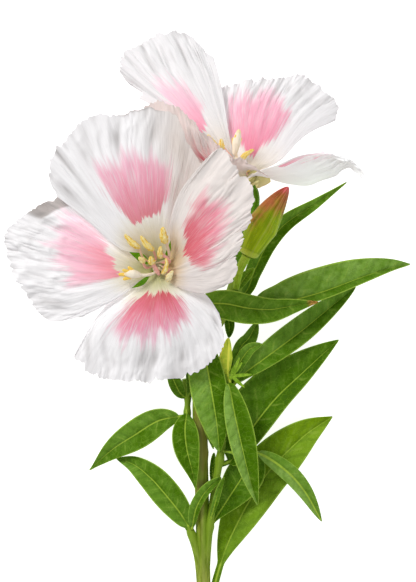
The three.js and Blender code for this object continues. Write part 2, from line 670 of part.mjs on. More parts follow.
const FILAMENT_SUNK = 0.4; // how deep a filament starts in the ring
const FILAMENT_RISE = 1.2; // how far it climbs before it bends away
const FILAMENT_SPREAD = 1.2;
const FILAMENT_IN_ANTHER = 0.3; // the share of the anther that its filament reaches into
const ANTHER_ARCH = 0.3;

function makeStamens(bloomName, bloom, mouth) {
  const ringBottom = SEAT_GAP;
  const ringTop = SEAT_GAP + STAMEN_RING_HEIGHT;
  const ringMiddle = (STAMEN_RING_INNER + STAMEN_RING_OUTER) / 2;
  const pieces = [ringOnMouth(mouth, STAMEN_RING_INNER, STAMEN_RING_OUTER, ringBottom, ringTop, 12)];
  for (const { angle, foot, tip } of bloom.stamens) {
    const start = onMouth(mouth, angle, ringMiddle, ringTop - FILAMENT_SUNK);
    const lifted = onMouth(mouth, angle, ringMiddle * FILAMENT_SPREAD, ringTop + FILAMENT_RISE);
    const antherFoot = at(foot);
    const antherTip = at(tip);
    const sunk = antherFoot.clone().lerp(antherTip, FILAMENT_IN_ANTHER);
    pieces.push(rod(curveThrough([start, lifted, sunk]), () => FILAMENT_RADIUS, 4, 4));
    const middle = antherFoot.clone().lerp(antherTip, 0.5);
    middle.z += ANTHER_ARCH;
    pieces.push(spindle([antherFoot, middle, antherTip], ANTHER, 5, 4));
  }
  addPiece(`${bloomName}_stamens`, fuse(pieces), COLOURS.filament);
}

const STYLE_RISE = 1.3;
const LOBE_SUNK = 0.2; // the share of the style's last stretch that a lobe starts in
const LOBE_BEND = 0.4; // where along a lobe it bends

function makeStyle(bloomName, bloom, mouth) {
  const start = onMouth(mouth, 0, 0, SEAT_GAP);
  const lifted = onMouth(mouth, 0, 0, SEAT_GAP + STYLE_RISE);
  const route = [start, lifted, ...bloom.style.route.map(at)];
  const pieces = [rod(curveThrough(route), () => STYLE_RADIUS, 6, 8)];
  const fork = route.at(-1);
  for (const lobe of bloom.style.lobes) {
    const end = at(lobe);
    const foot = route.at(-2).clone().lerp(fork, 1 - LOBE_SUNK);
    const middle = fork.clone().lerp(end, LOBE_BEND);
    pieces.push(spindle([foot, middle, end], STIGMA_LOBE, 5, 5));
  }
  addPiece(`${bloomName}_style`, fuse(pieces), COLOURS.style);
}

const COLLAR = { width: 0.6, bottom: -1.5, top: -0.7 };

// The sepals, turned back and joined by a collar round the tube just under the mouth
function makeSepals(bloomName, bloom, mouth) {
  const collarInner = MOUTH_RADIUS + SEAT_GAP;
  const collarOuter = collarInner + COLLAR.width;
  const pieces = [ringOnMouth(mouth, collarInner, collarOuter, COLLAR.bottom, COLLAR.top, 12)];
  const leaf = { half: [bloom.sepalHalf, bloom.sepalHalf], widest: SEPAL.widest, full: SEPAL.full,
    lift: [-0.3, -0.3], wave: 0 };
  for (const { angle, rib } of bloom.sepals) {
    const foot = onMouth(mouth, angle, (collarInner + collarOuter) / 2, (COLLAR.bottom + COLLAR.top) / 2);
    pieces.push(blade(leafSurface(leaf, [foot, ...rib.map(at)]), SMALL_LEAF_STEPS, LEAF_THICKNESS));
  }
  addPiece(`${bloomName}_sepals`, fuse(pieces), COLOURS.sepal);
}

function makeBuds() {
  const [foot, tip] = BUD_OVARY.radii;
  const ovary = rod(curveThrough(BUD_OVARY.route.map(at)), (u) => foot + (tip - foot) * u, 8, 6);
  addPiece('bud_ovary', ovary, COLOURS.ovary);
  addPiece('bud', spindle(BUD.route.map(at), BUD, 12, 10), COLOURS.bud);
  addPiece('small_bud', spindle(SMALL_BUD.route.map(at), SMALL_BUD, 8, 7), COLOURS.youngBud);
}

makeStem();
makeLeaves(LEAVES, LARGE_LEAF_STEPS);
makeLeaves(SMALL_LEAVES, SMALL_LEAF_STEPS);
makeTuft();
for (const [name, bloom] of Object.entries(BLOOMS)) {
  const mouth = mouthOf(bloom);
  makeTube(name, bloom, mouth);
  makePetals(name, bloom, mouth);
  makeStamens(name, bloom, mouth);
  makeStyle(name, bloom, mouth);
  makeSepals(name, bloom, mouth);
}
makeBuds();

export default plant;
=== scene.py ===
# %% [markdown]
# # A cut stem of godetia, lying on a table
#
# Godetia is a garden flower with four fan-shaped petals of thin, silky tissue. This lesson takes
# the plain solids of one cut stem and gives each a finer form and a living finish. The stem lies
# flat with its blooms facing up, so the camera looks straight down.

# %% Load the plain solids and keep their box
import math

import bpy
import numpy as np
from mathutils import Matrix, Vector


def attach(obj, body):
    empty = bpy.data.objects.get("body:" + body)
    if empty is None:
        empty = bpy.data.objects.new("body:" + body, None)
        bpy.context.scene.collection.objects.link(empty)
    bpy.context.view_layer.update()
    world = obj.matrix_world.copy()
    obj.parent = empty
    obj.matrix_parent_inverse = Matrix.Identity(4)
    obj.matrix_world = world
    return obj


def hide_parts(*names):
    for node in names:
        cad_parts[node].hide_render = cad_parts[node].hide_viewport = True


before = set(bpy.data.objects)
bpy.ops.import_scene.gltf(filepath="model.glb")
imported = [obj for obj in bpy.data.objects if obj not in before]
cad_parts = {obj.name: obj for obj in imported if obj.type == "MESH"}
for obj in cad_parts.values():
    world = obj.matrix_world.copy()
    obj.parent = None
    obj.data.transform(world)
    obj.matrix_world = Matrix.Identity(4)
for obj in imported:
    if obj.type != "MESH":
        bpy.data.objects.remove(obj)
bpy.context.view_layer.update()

# %% [markdown]
# ## Measuring along the plant
#
# The solids were drawn over a photograph: a point is its pixel across, its pixel down and its
# height over the table in millimetres. The same numbers are used here, so each finer piece stays
# where its solid is. A Route is a smooth curve through such points, measured by its length. A
# curve object would do as well, but a Route gives the place at any share of its length at once.

# %% A point over the photograph, and a smooth curve through several
PIXEL = 72.5 / 248  # millimetres: the front bloom is 72.5 mm wide, and 248 pixels
MIDDLE = (208.7, 352.8)  # the pixel over the origin
METRES = 0.001  # a millimetre
CURVE_STEPS = 60  # straight steps between two points of a route


def at(point):
    """A pixel and a height as a place in millimetres."""
    across, down, height = point
    return np.array([(across - MIDDLE[0]) * PIXEL, (MIDDLE[1] - down) * PIXEL, height])


def all_at(points):
    return [at(point) for point in points]


def unit(vectors):
    return vectors / np.maximum(np.linalg.norm(vectors, axis=-1, keepdims=True), 1e-12)


def ease(x, low, high):
    """0 below low, 1 above high, and a smooth climb between them."""
    t = np.clip((x - low) / (high - low), 0, 1)
    return t * t * (3 - 2 * t)


class Route:
    """A smooth curve through points, read by the share of its length."""

    def __init__(self, points):
        p = np.array(points, float)
        p = np.vstack([2 * p[0] - p[1], p, 2 * p[-1] - p[-2]])
        t = np.linspace(0, len(points) - 1, CURVE_STEPS * (len(points) - 1) + 1)
        k = np.minimum(t.astype(int), len(points) - 2)
        w = (t - k)[:, None]
        a, b, c, d = p[k], p[k + 1], p[k + 2], p[k + 3]
        out, into = (c - a) / 2, (d - b) / 2
        self.points = ((2 * b - 2 * c + out + into) * w**3
                       + (-3 * b + 3 * c - 2 * out - into) * w**2 + out * w + b)
        self.lengths = np.r_[0, np.linalg.norm(np.diff(self.points, axis=0), axis=1).cumsum()]
        self.length = self.lengths[-1]

    def place(self, u):
        reach = np.asarray(u, float) * self.length
        return np.stack([np.interp(reach, self.lengths, x) for x in self.points.T], -1)

    def heading(self, u, step=0.002):
        u = np.asarray(u, float)
        ahead = self.place(np.minimum(u + step, 1)) - self.place(np.maximum(u - step, 0))
        return unit(ahead)


print("one pixel is", round(PIXEL, 4), "mm across")

# %% [markdown]
# ## Irregularity
#
# Nothing on a plant is even. A seeded grid of random numbers, read smoothly, gives the dents of a
# petal, the waver of a rim and the wobble of a leaf. A modifier with a noise texture could do
# that too, but here the same heights also tell the finish where to paint grey shade in the folds.
# Every seed is fixed, so that each run is the same.

# %% Smooth random heights
LATTICE = 64  # random numbers along each side of the grid, after which they repeat


def unrest(x, y, seed):
    """Smooth random heights from -1 to 1, about one bump for each unit of x and y."""
    grid = np.random.default_rng(seed).uniform(-1, 1, (LATTICE, LATTICE))
    x, y = np.broadcast_arrays(np.asarray(x, float), np.asarray(y, float))
    i, j = np.floor(x).astype(int), np.floor(y).astype(int)
    a, b = ease(x - i, 0, 1), ease(y - j, 0, 1)
    pick = lambda di, dj: grid[(i + di) % LATTICE, (j + dj) % LATTICE]
    near = pick(0, 0) * (1 - a) + pick(1, 0) * a
    far = pick(0, 1) * (1 - a) + pick(1, 1) * a
    return near * (1 - b) + far * b


def crease(x, y, seed):
    """Sharp ridges of height 1 between hollows down to -1, as in crumpled paper."""
    return 1 - np.abs(unrest(x, y, seed)) * 2


print("heights from one seed:", np.round(unrest(np.arange(5) / 2, 0, 1), 2))

# %% [markdown]
# ## From numbers to meshes
#
# A petal or a leaf is a thin sheet. It is made as a grid of points on its middle surface, pushed
# out to both sides, with a narrow wall round its edge: a closed skin, as the real tissue is. A
# bud, an ovary or a filament is a row of rings with a pole at each end. Where a point lies, along
# and across a sheet or along and round a rod, is kept as its UV. Sculpting would be freer, but it
# would lose that order, which the fibres and veins need.

# %% A closed sheet over a grid of points
def both_sides(values):
    """The values of a grid, for the points of a sheet's upper and its lower side."""
    return np.r_[values.ravel(), values.ravel()]


def sheet_uv(u, v):
    return np.stack([both_sides(u), both_sides(v)], 1)


def sheet_mesh(middle, thick):
    """Points and faces of a closed sheet on both sides of a grid of points."""
    rows, columns = middle.shape[:2]
    along = np.gradient(middle, axis=0)
    across = np.gradient(middle, axis=1)
    normal = unit(np.cross(across, along))
    offset = normal * (thick / 2)[..., None]
    points = np.vstack([(middle + offset).reshape(-1, 3), (middle - offset).reshape(-1, 3)])
    index = np.arange(rows * columns).reshape(rows, columns)
    a, b = index[:-1, :-1].ravel(), index[:-1, 1:].ravel()
    c, d = index[1:, 1:].ravel(), index[1:, :-1].ravel()
    size = rows * columns
    upper = np.stack([a, b, c, d], 1)
    lower = np.stack([a, d, c, b], 1) + size
    edge = np.r_[index[0, :-1], index[:-1, -1], index[-1, :0:-1], index[:0:-1, 0]]
    turn = np.roll(edge, -1)
    wall = np.stack([turn, edge, edge + size, turn + size], 1)
    return points, np.vstack([upper, lower, wall]).tolist()


# %% A closed rod along a route
def frames_along(tangents):
    """Two directions across a route at each of its points, turning as little as possible."""
    first = np.cross(tangents[0], [0, 0, 1.0])
    if np.linalg.norm(first) < 1e-3:
        first = np.array([1.0, 0, 0])
    sides = [unit(first)]
    for tangent in tangents[1:]:
        side = sides[-1] - tangent * np.dot(sides[-1], tangent)
        sides.append(unit(side))
    sides = np.array(sides)
    return sides, np.cross(tangents, sides)


def rod_mesh(route, radius, sides, steps):
    """Points and faces of a closed rod; radius is a function of the way along and the angle."""
    u = np.linspace(0, 1, steps + 1)
    tangents = route.heading(u)
    side, up = frames_along(tangents)
    angle = 2 * np.pi * np.arange(sides) / sides
    reach = radius(u[:, None], angle[None, :]) * np.ones((steps + 1, sides))
    rings = (route.place(u)[:, None]
             + reach[..., None] * (np.cos(angle)[None, :, None] * side[:, None]
                                   + np.sin(angle)[None, :, None] * up[:, None]))
    points = np.vstack([rings.reshape(-1, 3), route.place(0)[None], route.place(1)[None]])
    index = np.arange((steps + 1) * sides).reshape(steps + 1, sides)
    a, d = index[:-1].ravel(), index[1:].ravel()
    b, c = np.roll(index[:-1], -1, 1).ravel(), np.roll(index[1:], -1, 1).ravel()
    faces = np.stack([a, b, c, d], 1).tolist()
    foot, tip = len(points) - 2, len(points) - 1
    for j in range(sides):
        k = (j + 1) % sides
        faces.append([foot, index[0, k], index[0, j]])
        faces.append([tip, index[-1, j], index[-1, k]])
    return points, faces


def rod_uv(sides, steps):
    """The way along and the way round for a rod's points; its two poles come last."""
    u = np.repeat(np.linspace(0, 1, steps + 1), sides)
    v = np.tile((np.arange(sides) / sides + 0.75) % 1, steps + 1)
    return np.stack([np.r_[u, 0, 1], np.r_[v, 0.5, 0.5]], 1)


# %% Several parts as one
def joined(parts):
    """Several lists of points and faces as one."""
    points, faces, start = [], [], 0
    for some, those in parts:
        points.append(np.asarray(some))
        faces += [[i + start for i in face] for face in those]
        start += len(some)
    return np.vstack(points), faces


def plain_uv(part):
    """One and the same UV for all points of a part that shows no grain of its own."""
    return np.full((len(part[0]), 2), 0.5)


# %% [markdown]
# ## A finished piece
#
# Each finer piece takes the place of one plain solid. It rides on the plant's one body, its name
# says which solid it stands for, and it has its finish. Values that vary over it, such as how far
# along a leaf a point is, are kept as a UV map and as marks, which are attributes, and the
# finishes read those.

# %% Make a piece from points in millimetres
CLEAR = 0.05  # how far the lowest point stays over the table
SEAM = 0.6  # a face that spans more of the UV than this runs over a rod's seam


def keep_mark(mesh, mark, values):
    """Keep a value for each point of a mesh, which its finish reads."""
    kept = mesh.attributes.new(mark, "FLOAT", "POINT")
    kept.data.foreach_set("value", np.asarray(values, np.float32).ravel())


def new_mesh(name, points, faces, finish, uv=None, marks=None):
    mesh = bpy.data.meshes.new(name)
    points = np.array(points)
    points[:, 2] = np.maximum(points[:, 2], CLEAR)
    mesh.from_pydata((points * METRES).tolist(), [], faces)
    mesh.polygons.foreach_set("use_smooth", [True] * len(mesh.polygons))
    if uv is not None:
        corners = np.empty(len(mesh.loops), np.int32)
        mesh.loops.foreach_get("vertex_index", corners)
        spread = np.asarray(uv, np.float32)[corners]
        face = np.repeat(np.arange(len(faces)), [len(f) for f in faces])
        highest = np.zeros(len(faces), np.float32)
        np.maximum.at(highest, face, spread[:, 1])
        spread[(highest[face] - spread[:, 1]) > SEAM, 1] += 1
        layer = mesh.uv_layers.new(name="tissue")
        layer.data.foreach_set("uv", spread.ravel())
    for mark, values in (marks or {}).items():
        keep_mark(mesh, mark, values)
    mesh.materials.append(finish.material)
    mesh.update()
    return mesh


def placed(name, data):
    """A new object in the scene."""
    made = bpy.data.objects.new(name, data)
    bpy.context.scene.collection.objects.link(made)
    return made


def stand_for(node, mesh):
    """Put a finished mesh in the place of a plain solid."""
    piece = placed(f"{node}_fine", mesh)
    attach(piece, "root")
    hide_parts(node)
    print(piece.name, len(mesh.polygons), "faces")


# %% [markdown]
# ## Finishes as arithmetic
#
# A finish is a small tree of shader nodes. Amount wraps one socket, so that sums on it read as
# plain arithmetic: `1 - mask` adds a Math node. Colours are mixed with Mix nodes, because a Math
# node would turn them grey, and `layered` lays one colour over another. Each of the other nodes
# comes from one method, `node`, which takes a colour as the text that a screen would show.

# %% One value over a surface, and sums on it
class Amount:
    """One value that varies over a surface."""

    def __init__(self, finish, socket):
        self.finish = finish
        self.socket = socket

    def sum(self, operation, *others, clamp=False):
        settings = {"operation": operation, "use_clamp": clamp}
        return self.finish.node("Math", settings, dict(enumerate(others)))

    def __add__(self, other):
        return self.sum("ADD", self, other)

    def __sub__(self, other):
        return self.sum("SUBTRACT", self, other)

    def __rsub__(self, other):
        return self.sum("SUBTRACT", other, self)

    def __mul__(self, other):
        return self.sum("MULTIPLY", self, other)

    def __truediv__(self, other):
        return self.sum("DIVIDE", self, other)

    def __abs__(self):
        return self.sum("ABSOLUTE", self)

    __radd__ = __add__
    __rmul__ = __mul__

    def clamped(self):
        return self.sum("ADD", self, 0, clamp=True)

    def wave(self):
        return self.sum("SINE", self)

    def rise(self, low, high):
        """0 below low, 1 above high, smooth between them."""
        settings = {"interpolation_type": "SMOOTHSTEP"}
        return self.finish.node("MapRange", settings, {0: self, 1: low, 2: high})


# %% The finish and its nodes
def tint(text):
    """A colour as a screen shows it, turned into the light that a shader works in."""
    values = [int(text[i:i + 2], 16) / 255 for i in (1, 3, 5)]
    light = [v / 12.92 if v <= 0.04045 else ((v + 0.055) / 1.055) ** 2.4 for v in values]
    return (*light, 1.0)


def add_node(tree, kind, settings, values):
    """A new node: its settings first, then the values or links of its sockets."""
    made = tree.nodes.new(kind)
    for key, value in (settings or {}).items():
        if key == "stops":
            ramp = made.color_ramp
            while len(ramp.elements) < len(value):
                ramp.elements.new(0.5)
            for element, (place, colour) in zip(ramp.elements, value):
                element.position, element.color = place, tint(colour)
        else:
            setattr(made, key, value)
    for key, value in (values or {}).items():
        value = value.socket if isinstance(value, Amount) else value
        if isinstance(value, bpy.types.NodeSocket):
            tree.links.new(value, made.inputs[key])
        else:
            is_colour = str(value).startswith("#")
            made.inputs[key].default_value = tint(value) if is_colour else value
    return made


class Finish:
    """The look of one kind of tissue."""

    def __init__(self, name, sheen=0.0, specular=0.3):
        self.material = bpy.data.materials.new(name)
        self.material.use_nodes = True
        self.tree = self.material.node_tree
        self.shader = self.tree.nodes["Principled BSDF"]
        self.shader.inputs["Specular IOR Level"].default_value = specular
        self.shader.inputs["Sheen Weight"].default_value = sheen

    def node(self, kind, settings=None, values=None, output=0):
        made = add_node(self.tree, "ShaderNode" + kind, settings, values)
        return Amount(self, made.outputs[output])

    def marks(self, *names):
        return [self.node("Attribute", {"attribute_name": name}, output=2) for name in names]

    def tissue(self):
        """The way along and the way across, both from 0 to 1."""
        split = self.node("SeparateXYZ", values={0: self.node("UVMap", {"uv_map": "tissue"})})
        return split, Amount(self, split.socket.node.outputs[1])

    def vector(self, x, y, z=0.0):
        """A place in a pattern; z only moves it, so that no two patterns are alike."""
        return self.node("CombineXYZ", values={0: x, 1: y, 2: z})

    def solid_place(self):
        return self.node("TexCoord", output="Object")

    def grain(self, vector, detail=2.0, scale=1.0):
        """Noise from 0 to 1, 0.5 on average."""
        values = {"Vector": vector, "Scale": scale, "Detail": detail}
        return self.node("TexNoise", values=values)

    def body(self, scale, detail=2.0):
        """Noise in the solid itself, so many bumps to a metre."""
        return self.grain(self.solid_place(), detail, scale)

    def mix(self, mask, low, high):
        return self.node("Mix", {"data_type": "RGBA"}, {0: mask, 6: low, 7: high}, output=2)

    def layered(self, colour, *layers):
        """Colours laid over a first one in turn, each as strong as its mask."""
        for mask, over in layers:
            colour = self.mix(mask, colour, over)
        return colour

    def ramp(self, amount, *stops):
        return self.node("ValToRGB", {"stops": stops}, {0: amount})

    def show(self, colour, rough, relief=None, depth=0.0):
        """Colour, roughness and relief; depth is the relief's height in metres."""
        self.tree.links.new(colour.socket, self.shader.inputs["Base Color"])
        self.tree.links.new(rough.socket, self.shader.inputs["Roughness"])
        if relief is not None:
            bump = self.node("Bump", values={"Strength": 1.0, "Distance": depth,
                                             "Height": relief})
            self.tree.links.new(bump.socket, self.shader.inputs["Normal"])
        return self


# %% [markdown]
# ## The petals' finish
#
# A godetia petal is white silk with fine fibres that run out from its claw. The claw is olive
# green, the tissue over it cream, and a patch of pink feathers lies in the middle: deep rose at
# its inner end, paler outward, with ragged ends where the colour runs along the fibres. The
# outline of the patch was read over the photograph, and each point of the petal knows how deep it
# lies inside, in millimetres. Noise that is drawn out along the fibres then tears the edge. Shade
# is painted as well: grey in the folds, beige-grey in a hollow and on a stretch of rim that looks
# turned over, and a darker ground on some petals. The back bloom's side petal has a whiter ground
# and a faint glow, painted light for the light that shines through it. Painting by hand would do
# as well, but one rule with other colours serves all eight petals.

# %% Silk with a feathered patch
def petal_finish(name, deep, warm, pale, ground="#F7F5F6", cream="#E6DEC2", olive="#B9BA70",
                 glow=0.0):
    f = Finish(name, sheen=0.05, specular=0.15)
    out, across = f.tissue()
    patch, climb, fold, turned, shade = f.marks("patch", "climb", "fold", "turned", "shade")
    thick_fibre = f.grain(f.vector(across * 26, out * 2.0))
    thin_fibre = f.grain(f.vector(across * 95, out * 4.5, 4.0), 3.0)
    hair_fibre = f.grain(f.vector(across * 210, out * 8, 7.0), 1.0)
    tongue = f.grain(f.vector(across * 12, out * 0.9, 2.0), 1.0)
    cloud = f.grain(f.vector(across * 5, out * 4, 9.0))

    base = 1 - (out + (thick_fibre - 0.5) * 0.12).rise(0.14, 0.46)
    throat = 1 - (out + (thick_fibre - 0.5) * 0.1).rise(0.03, 0.22)
    streaks = (thin_fibre + thick_fibre).rise(1.02, 1.3) * (1 - out.rise(0.1, 0.36))
    silk = f.layered(ground,
                     (((thin_fibre - 0.45) * 0.8).clamped(), "#D2CFCF"),
                     # painted shade: the folds are greyer where they lie in shade
                     ((fold * 0.55).clamped(), "#B0ACAB"),
                     # painted shade: beige-grey in a hollow, and grey-beige on a stretch of rim
                     # that looks turned over
                     ((shade * (0.8 + (cloud - 0.5))).clamped(), "#C9B7A9"),
                     (turned * 0.85, "#A89F9A"),
                     (base * 0.9, cream), (throat * 0.85, olive), (streaks * 0.25, "#A39D5E"))

    outer = climb * climb
    torn = (patch + (thick_fibre - 0.5) * (3.0 + outer * 10)
            + (thin_fibre - 0.5) * (4.0 + outer * 6)
            + (hair_fibre - 0.5) * (1.5 + outer * 3) + (tongue - 0.5) * (1 - climb) * 5)
    strength = torn.rise(-0.2 - climb * 1.8, 0.3 + climb * 3.2)
    worn = 1.03 - outer * 0.3 - (thin_fibre - 0.5) * (0.9 + climb) - (cloud - 0.5) * 0.25
    worn = worn - (hair_fibre - 0.5) * (0.9 + climb)
    pink = f.ramp((climb + (thick_fibre - 0.5) * 0.5 + (cloud - 0.5) * 0.4).clamped(),
                  (0.0, deep), (0.42, warm), (1.0, pale))
    pink = f.mix(((hair_fibre + thin_fibre - 1.0) * 1.6).clamped(), pink, deep)
    colour = f.mix((strength * worn.clamped()).clamped(), silk, pink)
    relief = thin_fibre * 0.8 + thick_fibre + hair_fibre * 0.25
    # Painted light: a faint glow that stands for the light shining through the petal.
    if glow:
        f.tree.links.new(colour.socket, f.shader.inputs["Emission Color"])
        f.shader.inputs["Emission Strength"].default_value = glow
    return f.show(colour, 0.52 + thin_fibre * 0.2, relief, 0.00022)


# The right, back left, back right and back front petals have a darker ground, which is painted
# shade; the back front petal, seen from outside, also has duller pinks, partly painted shade. The
# back side petal's white ground and glow are painted light.
PETAL_FINISHES = {
    "front_upper": petal_finish("upper petal", "#E08792", "#EC9AAE", "#F7BFD1"),
    "front_right": petal_finish("right petal", "#DC6672", "#E27482", "#EC9CAD",
                                ground="#EBE2DD", cream="#E0C69C", olive="#CDBA80"),
    "front_left": petal_finish("left petal", "#F89CAA", "#FFC0D2", "#FFD8E6"),
    "front_lower": petal_finish("lower petal", "#D05862", "#E68498", "#F1A8C2",
                                olive="#BDBE7C"),
    "back_left": petal_finish("back left petal", "#F4A0B8", "#F9BDD0", "#FBD0DF",
                              ground="#EDEBEC", cream="#EFE9E2", olive="#E2DAC4"),
    "back_right": petal_finish("back right petal", "#E9839D", "#F2A0B8", "#F8BDD0",
                               ground="#F0EEEF", cream="#F2EAE0", olive="#E8DCC4"),
    "back_side": petal_finish("back side petal", "#EC94AA", "#F2AEC0", "#F8CAD6",
                              ground="#FFFFFF", cream="#FBF7F4", olive="#F4EEE6",
                              glow=0.13),
    "back_front": petal_finish("back front petal", "#C45662", "#D07A84", "#DEA6A8",
                               ground="#DDCFCA", cream="#D2C6A8", olive="#C2B880"),
}
print("petal finishes:", len(PETAL_FINISHES))

# %% [markdown]
# ## The leaves' finish
#
# A leaf is satin green, softly mottled where its tissue swells between the veins. A thin
# yellow-green rib runs through it, with shade painted darker beside it. Side veins slant to the
# tip, with shade painted in the hollows between them, a fine net of lighter veins fills the rest,
# and the margin is pale and hair-fine. Each half of a leaf has its tone painted lighter or
# darker, because the halves catch the light differently, and young and old leaves differ in tone
# too. Small leaves are less veined, and one leaf has a dried tip. A photograph of a leaf would be
# simpler, but a rule has no seams and stays sharp from close by.

# %% Satin green with a rib and veins
NET_CELLS = 620.0  # to a metre


def leaf_finish():
    f = Finish("leaf green", specular=0.05)
    along, _ = f.tissue()
    rib, edge, tone = f.marks("rib", "edge", "tone")
    yellow, dried, veined = f.marks("yellow", "dried", "veined")
    patchy, blister, fine = f.body(230, 3), f.body(650), f.body(2600, 3)
    cells = f.node("TexVoronoi", {"feature": "DISTANCE_TO_EDGE"},
                   {"Vector": f.solid_place(), "Scale": NET_CELLS})

    slant = (along * 58 - abs(rib) * 1.25 + (patchy - 0.5) * 5).wave()
    vein = slant.rise(0.8, 1.0) * (1 - edge.rise(0.4, 0.9)) * patchy.rise(0.4, 0.6)
    vein_hollow_shade = 1 - slant.rise(-1.0, -0.4)
    middle = 1 - (abs(rib) / (1.9 - along * 1.3)).rise(0.08, 0.28)
    rib_side_shade = (1 - abs(rib).rise(0.3, 1.1)) - middle
    rust = (dried + (patchy - 0.5) * 0.6).rise(0.3, 0.85)
    brown = f.mix(fine.rise(0.35, 0.65), "#7E5A22", "#CDA052")
    # Each half's tone is partly painted light and shade, as the halves catch the light
    # differently, and partly the leaf's own tone.
    green = f.ramp((tone + (patchy - 0.5) * 0.45 + (blister - 0.5) * 0.34).clamped(),
                   (0.0, "#284C00"), (0.35, "#487000"), (0.7, "#6B942E"), (1.0, "#93B959"))
    # Painted shade: darker in the hollows between the side veins and beside the rib.
    green = f.layered(green,
                      ((yellow * (0.4 + along) + (patchy - 0.5) * yellow).clamped(), "#9DBE10"),
                      (vein * veined * 0.28, "#A5BE50"),
                      (vein_hollow_shade * veined * 0.22, "#2F5204"),
                      ((1 - cells.rise(0.0, 0.06)) * 0.24, "#8FB43C"),
                      (((fine - 0.5) * 0.5).clamped(), "#3A5F08"),
                      (middle * 0.85, "#A4C040"),
                      ((rib_side_shade * 0.22).clamped(), "#33560A"),
                      (edge.rise(0.9, 1.0) * (0.25 + veined * 0.5), "#A9CA4C"),
                      (rust, brown))
    relief = fine * 0.3 + slant * 0.6 * (1 - edge) + cells.rise(0.0, 0.1) * 0.4 + blister
    return f.show(green, 0.42 + patchy * 0.2, relief, 0.00018)


LEAF = leaf_finish()
print("nodes in the leaves' finish:", len(LEAF.tree.nodes))

# %% [markdown]
# ## The finishes of the other tissues
#
# The stem is olive green, flushed purple brown where the sun reached it, with pale ridges. The
# ovaries, the young stalk, the sepals and the small bud are green under a fine pale down; the
# sepals of the back bloom have faded to a pale olive, and the leaves that are only unfolding have
# a fresh green of their own. Anthers are golden and powdery, their filaments coral, the style
# cream with yellow tips. The larger bud runs from yellow-green through reddish brown to pink.
# Each could be painted, but a rule stays sharp at any size, and one function with other colours
# and ribs gives all the plain greens.

# %% Stem, ovary, sepals and young tissue
def stem_finish():
    f = Finish("stem olive", specular=0.12)
    ridge, young, flush = f.marks("ridge", "young", "flush")
    drawn_out = f.node("Mapping", values={0: f.solid_place(), 3: (1100.0, 70.0, 1100.0)})
    streak, patchy = f.grain(drawn_out, 3.0), f.body(150, 3)
    olive = f.layered("#5F7008",
                      (streak.rise(0.3, 0.7), "#99A640"),
                      ((ridge * 0.35).clamped(), "#A9AC66"),
                      ((flush * streak.rise(0.25, 0.75) * 0.75).clamped(), "#6E5C2E"),
                      ((young * (0.55 + streak * 0.5)).clamped(), "#789A22"))
    return f.show(olive, 0.45 + patchy * 0.2, streak + patchy * 0.5, 0.00015)


def green_finish(name, dark, light, scale=500, ribs=0, stripe=0.3, mouth=None,
                 mouth_from=0.93):
    f = Finish(name, specular=0.08)
    along, round_ = f.tissue()
    patchy, fine = f.body(scale, 3), f.body(4200)
    colour = f.mix((patchy * 1.4 - 0.2).clamped(), dark, light)
    relief = fine * 0.5 + patchy * 0.3
    if ribs:
        line = (round_ * (2 * math.pi * ribs)).wave()
        colour = f.mix(line.rise(0.2, 1.0) * stripe, colour, light)
        relief = relief + line * 0.5
    if mouth:
        colour = f.mix(along.rise(mouth_from, mouth_from + 0.05), colour, mouth)
    return f.show(colour, 0.5 + fine * 0.15, relief, 0.0002)


STEM = stem_finish()
OVARY_GREEN = green_finish("ovary green", "#3C7404", "#6C9A1E", ribs=8, mouth="#A6CC44")
OVARY_OLIVE = green_finish("ovary to olive", "#3C7404", "#6C9A1E", ribs=8, mouth="#B9B06E",
                           mouth_from=0.9)
STALK_GREEN = green_finish("young stalk", "#7AA414", "#AECB44", ribs=8)
SEPAL_GREEN = green_finish("sepal green", "#3F8404", "#7CAE22")
SEPAL_OLIVE = green_finish("sepal olive", "#CEC680", "#E6DEA6")
YOUNG_BUD = green_finish("young bud", "#86BC00", "#FFFF62", ribs=4, stripe=1.0)
UNFOLDING = green_finish("unfolding green", "#5F8E12", "#A8CC40", scale=900)
PALE_HAIR = green_finish("pale down", "#B9C48A", "#DDE2B8")


# %% Anthers, filaments, style and the coloured bud
def stamen_finish():
    f = Finish("anther gold and coral", sheen=0.1, specular=0.15)
    pollen, rosy = f.marks("pollen", "rosy")
    grainy, fine = f.body(1500), f.body(6000)
    along, round_ = f.tissue()
    lobes = (round_ * (2 * math.pi * 2) + 0.8).wave() * 0.07
    streak = f.grain(f.vector(round_ * 7, along * 2.2))
    gold = f.ramp(streak + lobes + (fine - 0.5) * 0.3 + (grainy - 0.5) * 0.5,
                  (0.24, "#E2A632"), (0.38, "#F4CE56"), (0.54, "#FBE288"), (0.72, "#FFF4C2"))
    cream = f.mix(grainy, "#F0DFA0", "#FFF6CE")
    gold = f.mix(pollen.rise(0.45, 0.95), cream, gold)
    coral = f.mix(fine, "#F09C90", "#FFD0C0")
    stalk = f.mix(rosy, "#EEE6C0", coral)
    return f.show(f.mix(pollen.rise(0.0, 0.4), stalk, gold), 0.6 + fine * 0.3, fine + grainy,
                  0.0002)


def style_finish():
    f = Finish("style cream", sheen=0.1, specular=0.2)
    [tip], fine = f.marks("tip"), f.body(5000)
    cream = f.mix(fine, "#F4E4C8", "#FFF8E6")
    return f.show(f.mix(tip * 0.9, cream, "#F5CC3C"), 0.5 + fine * 0.3, fine, 0.00015)


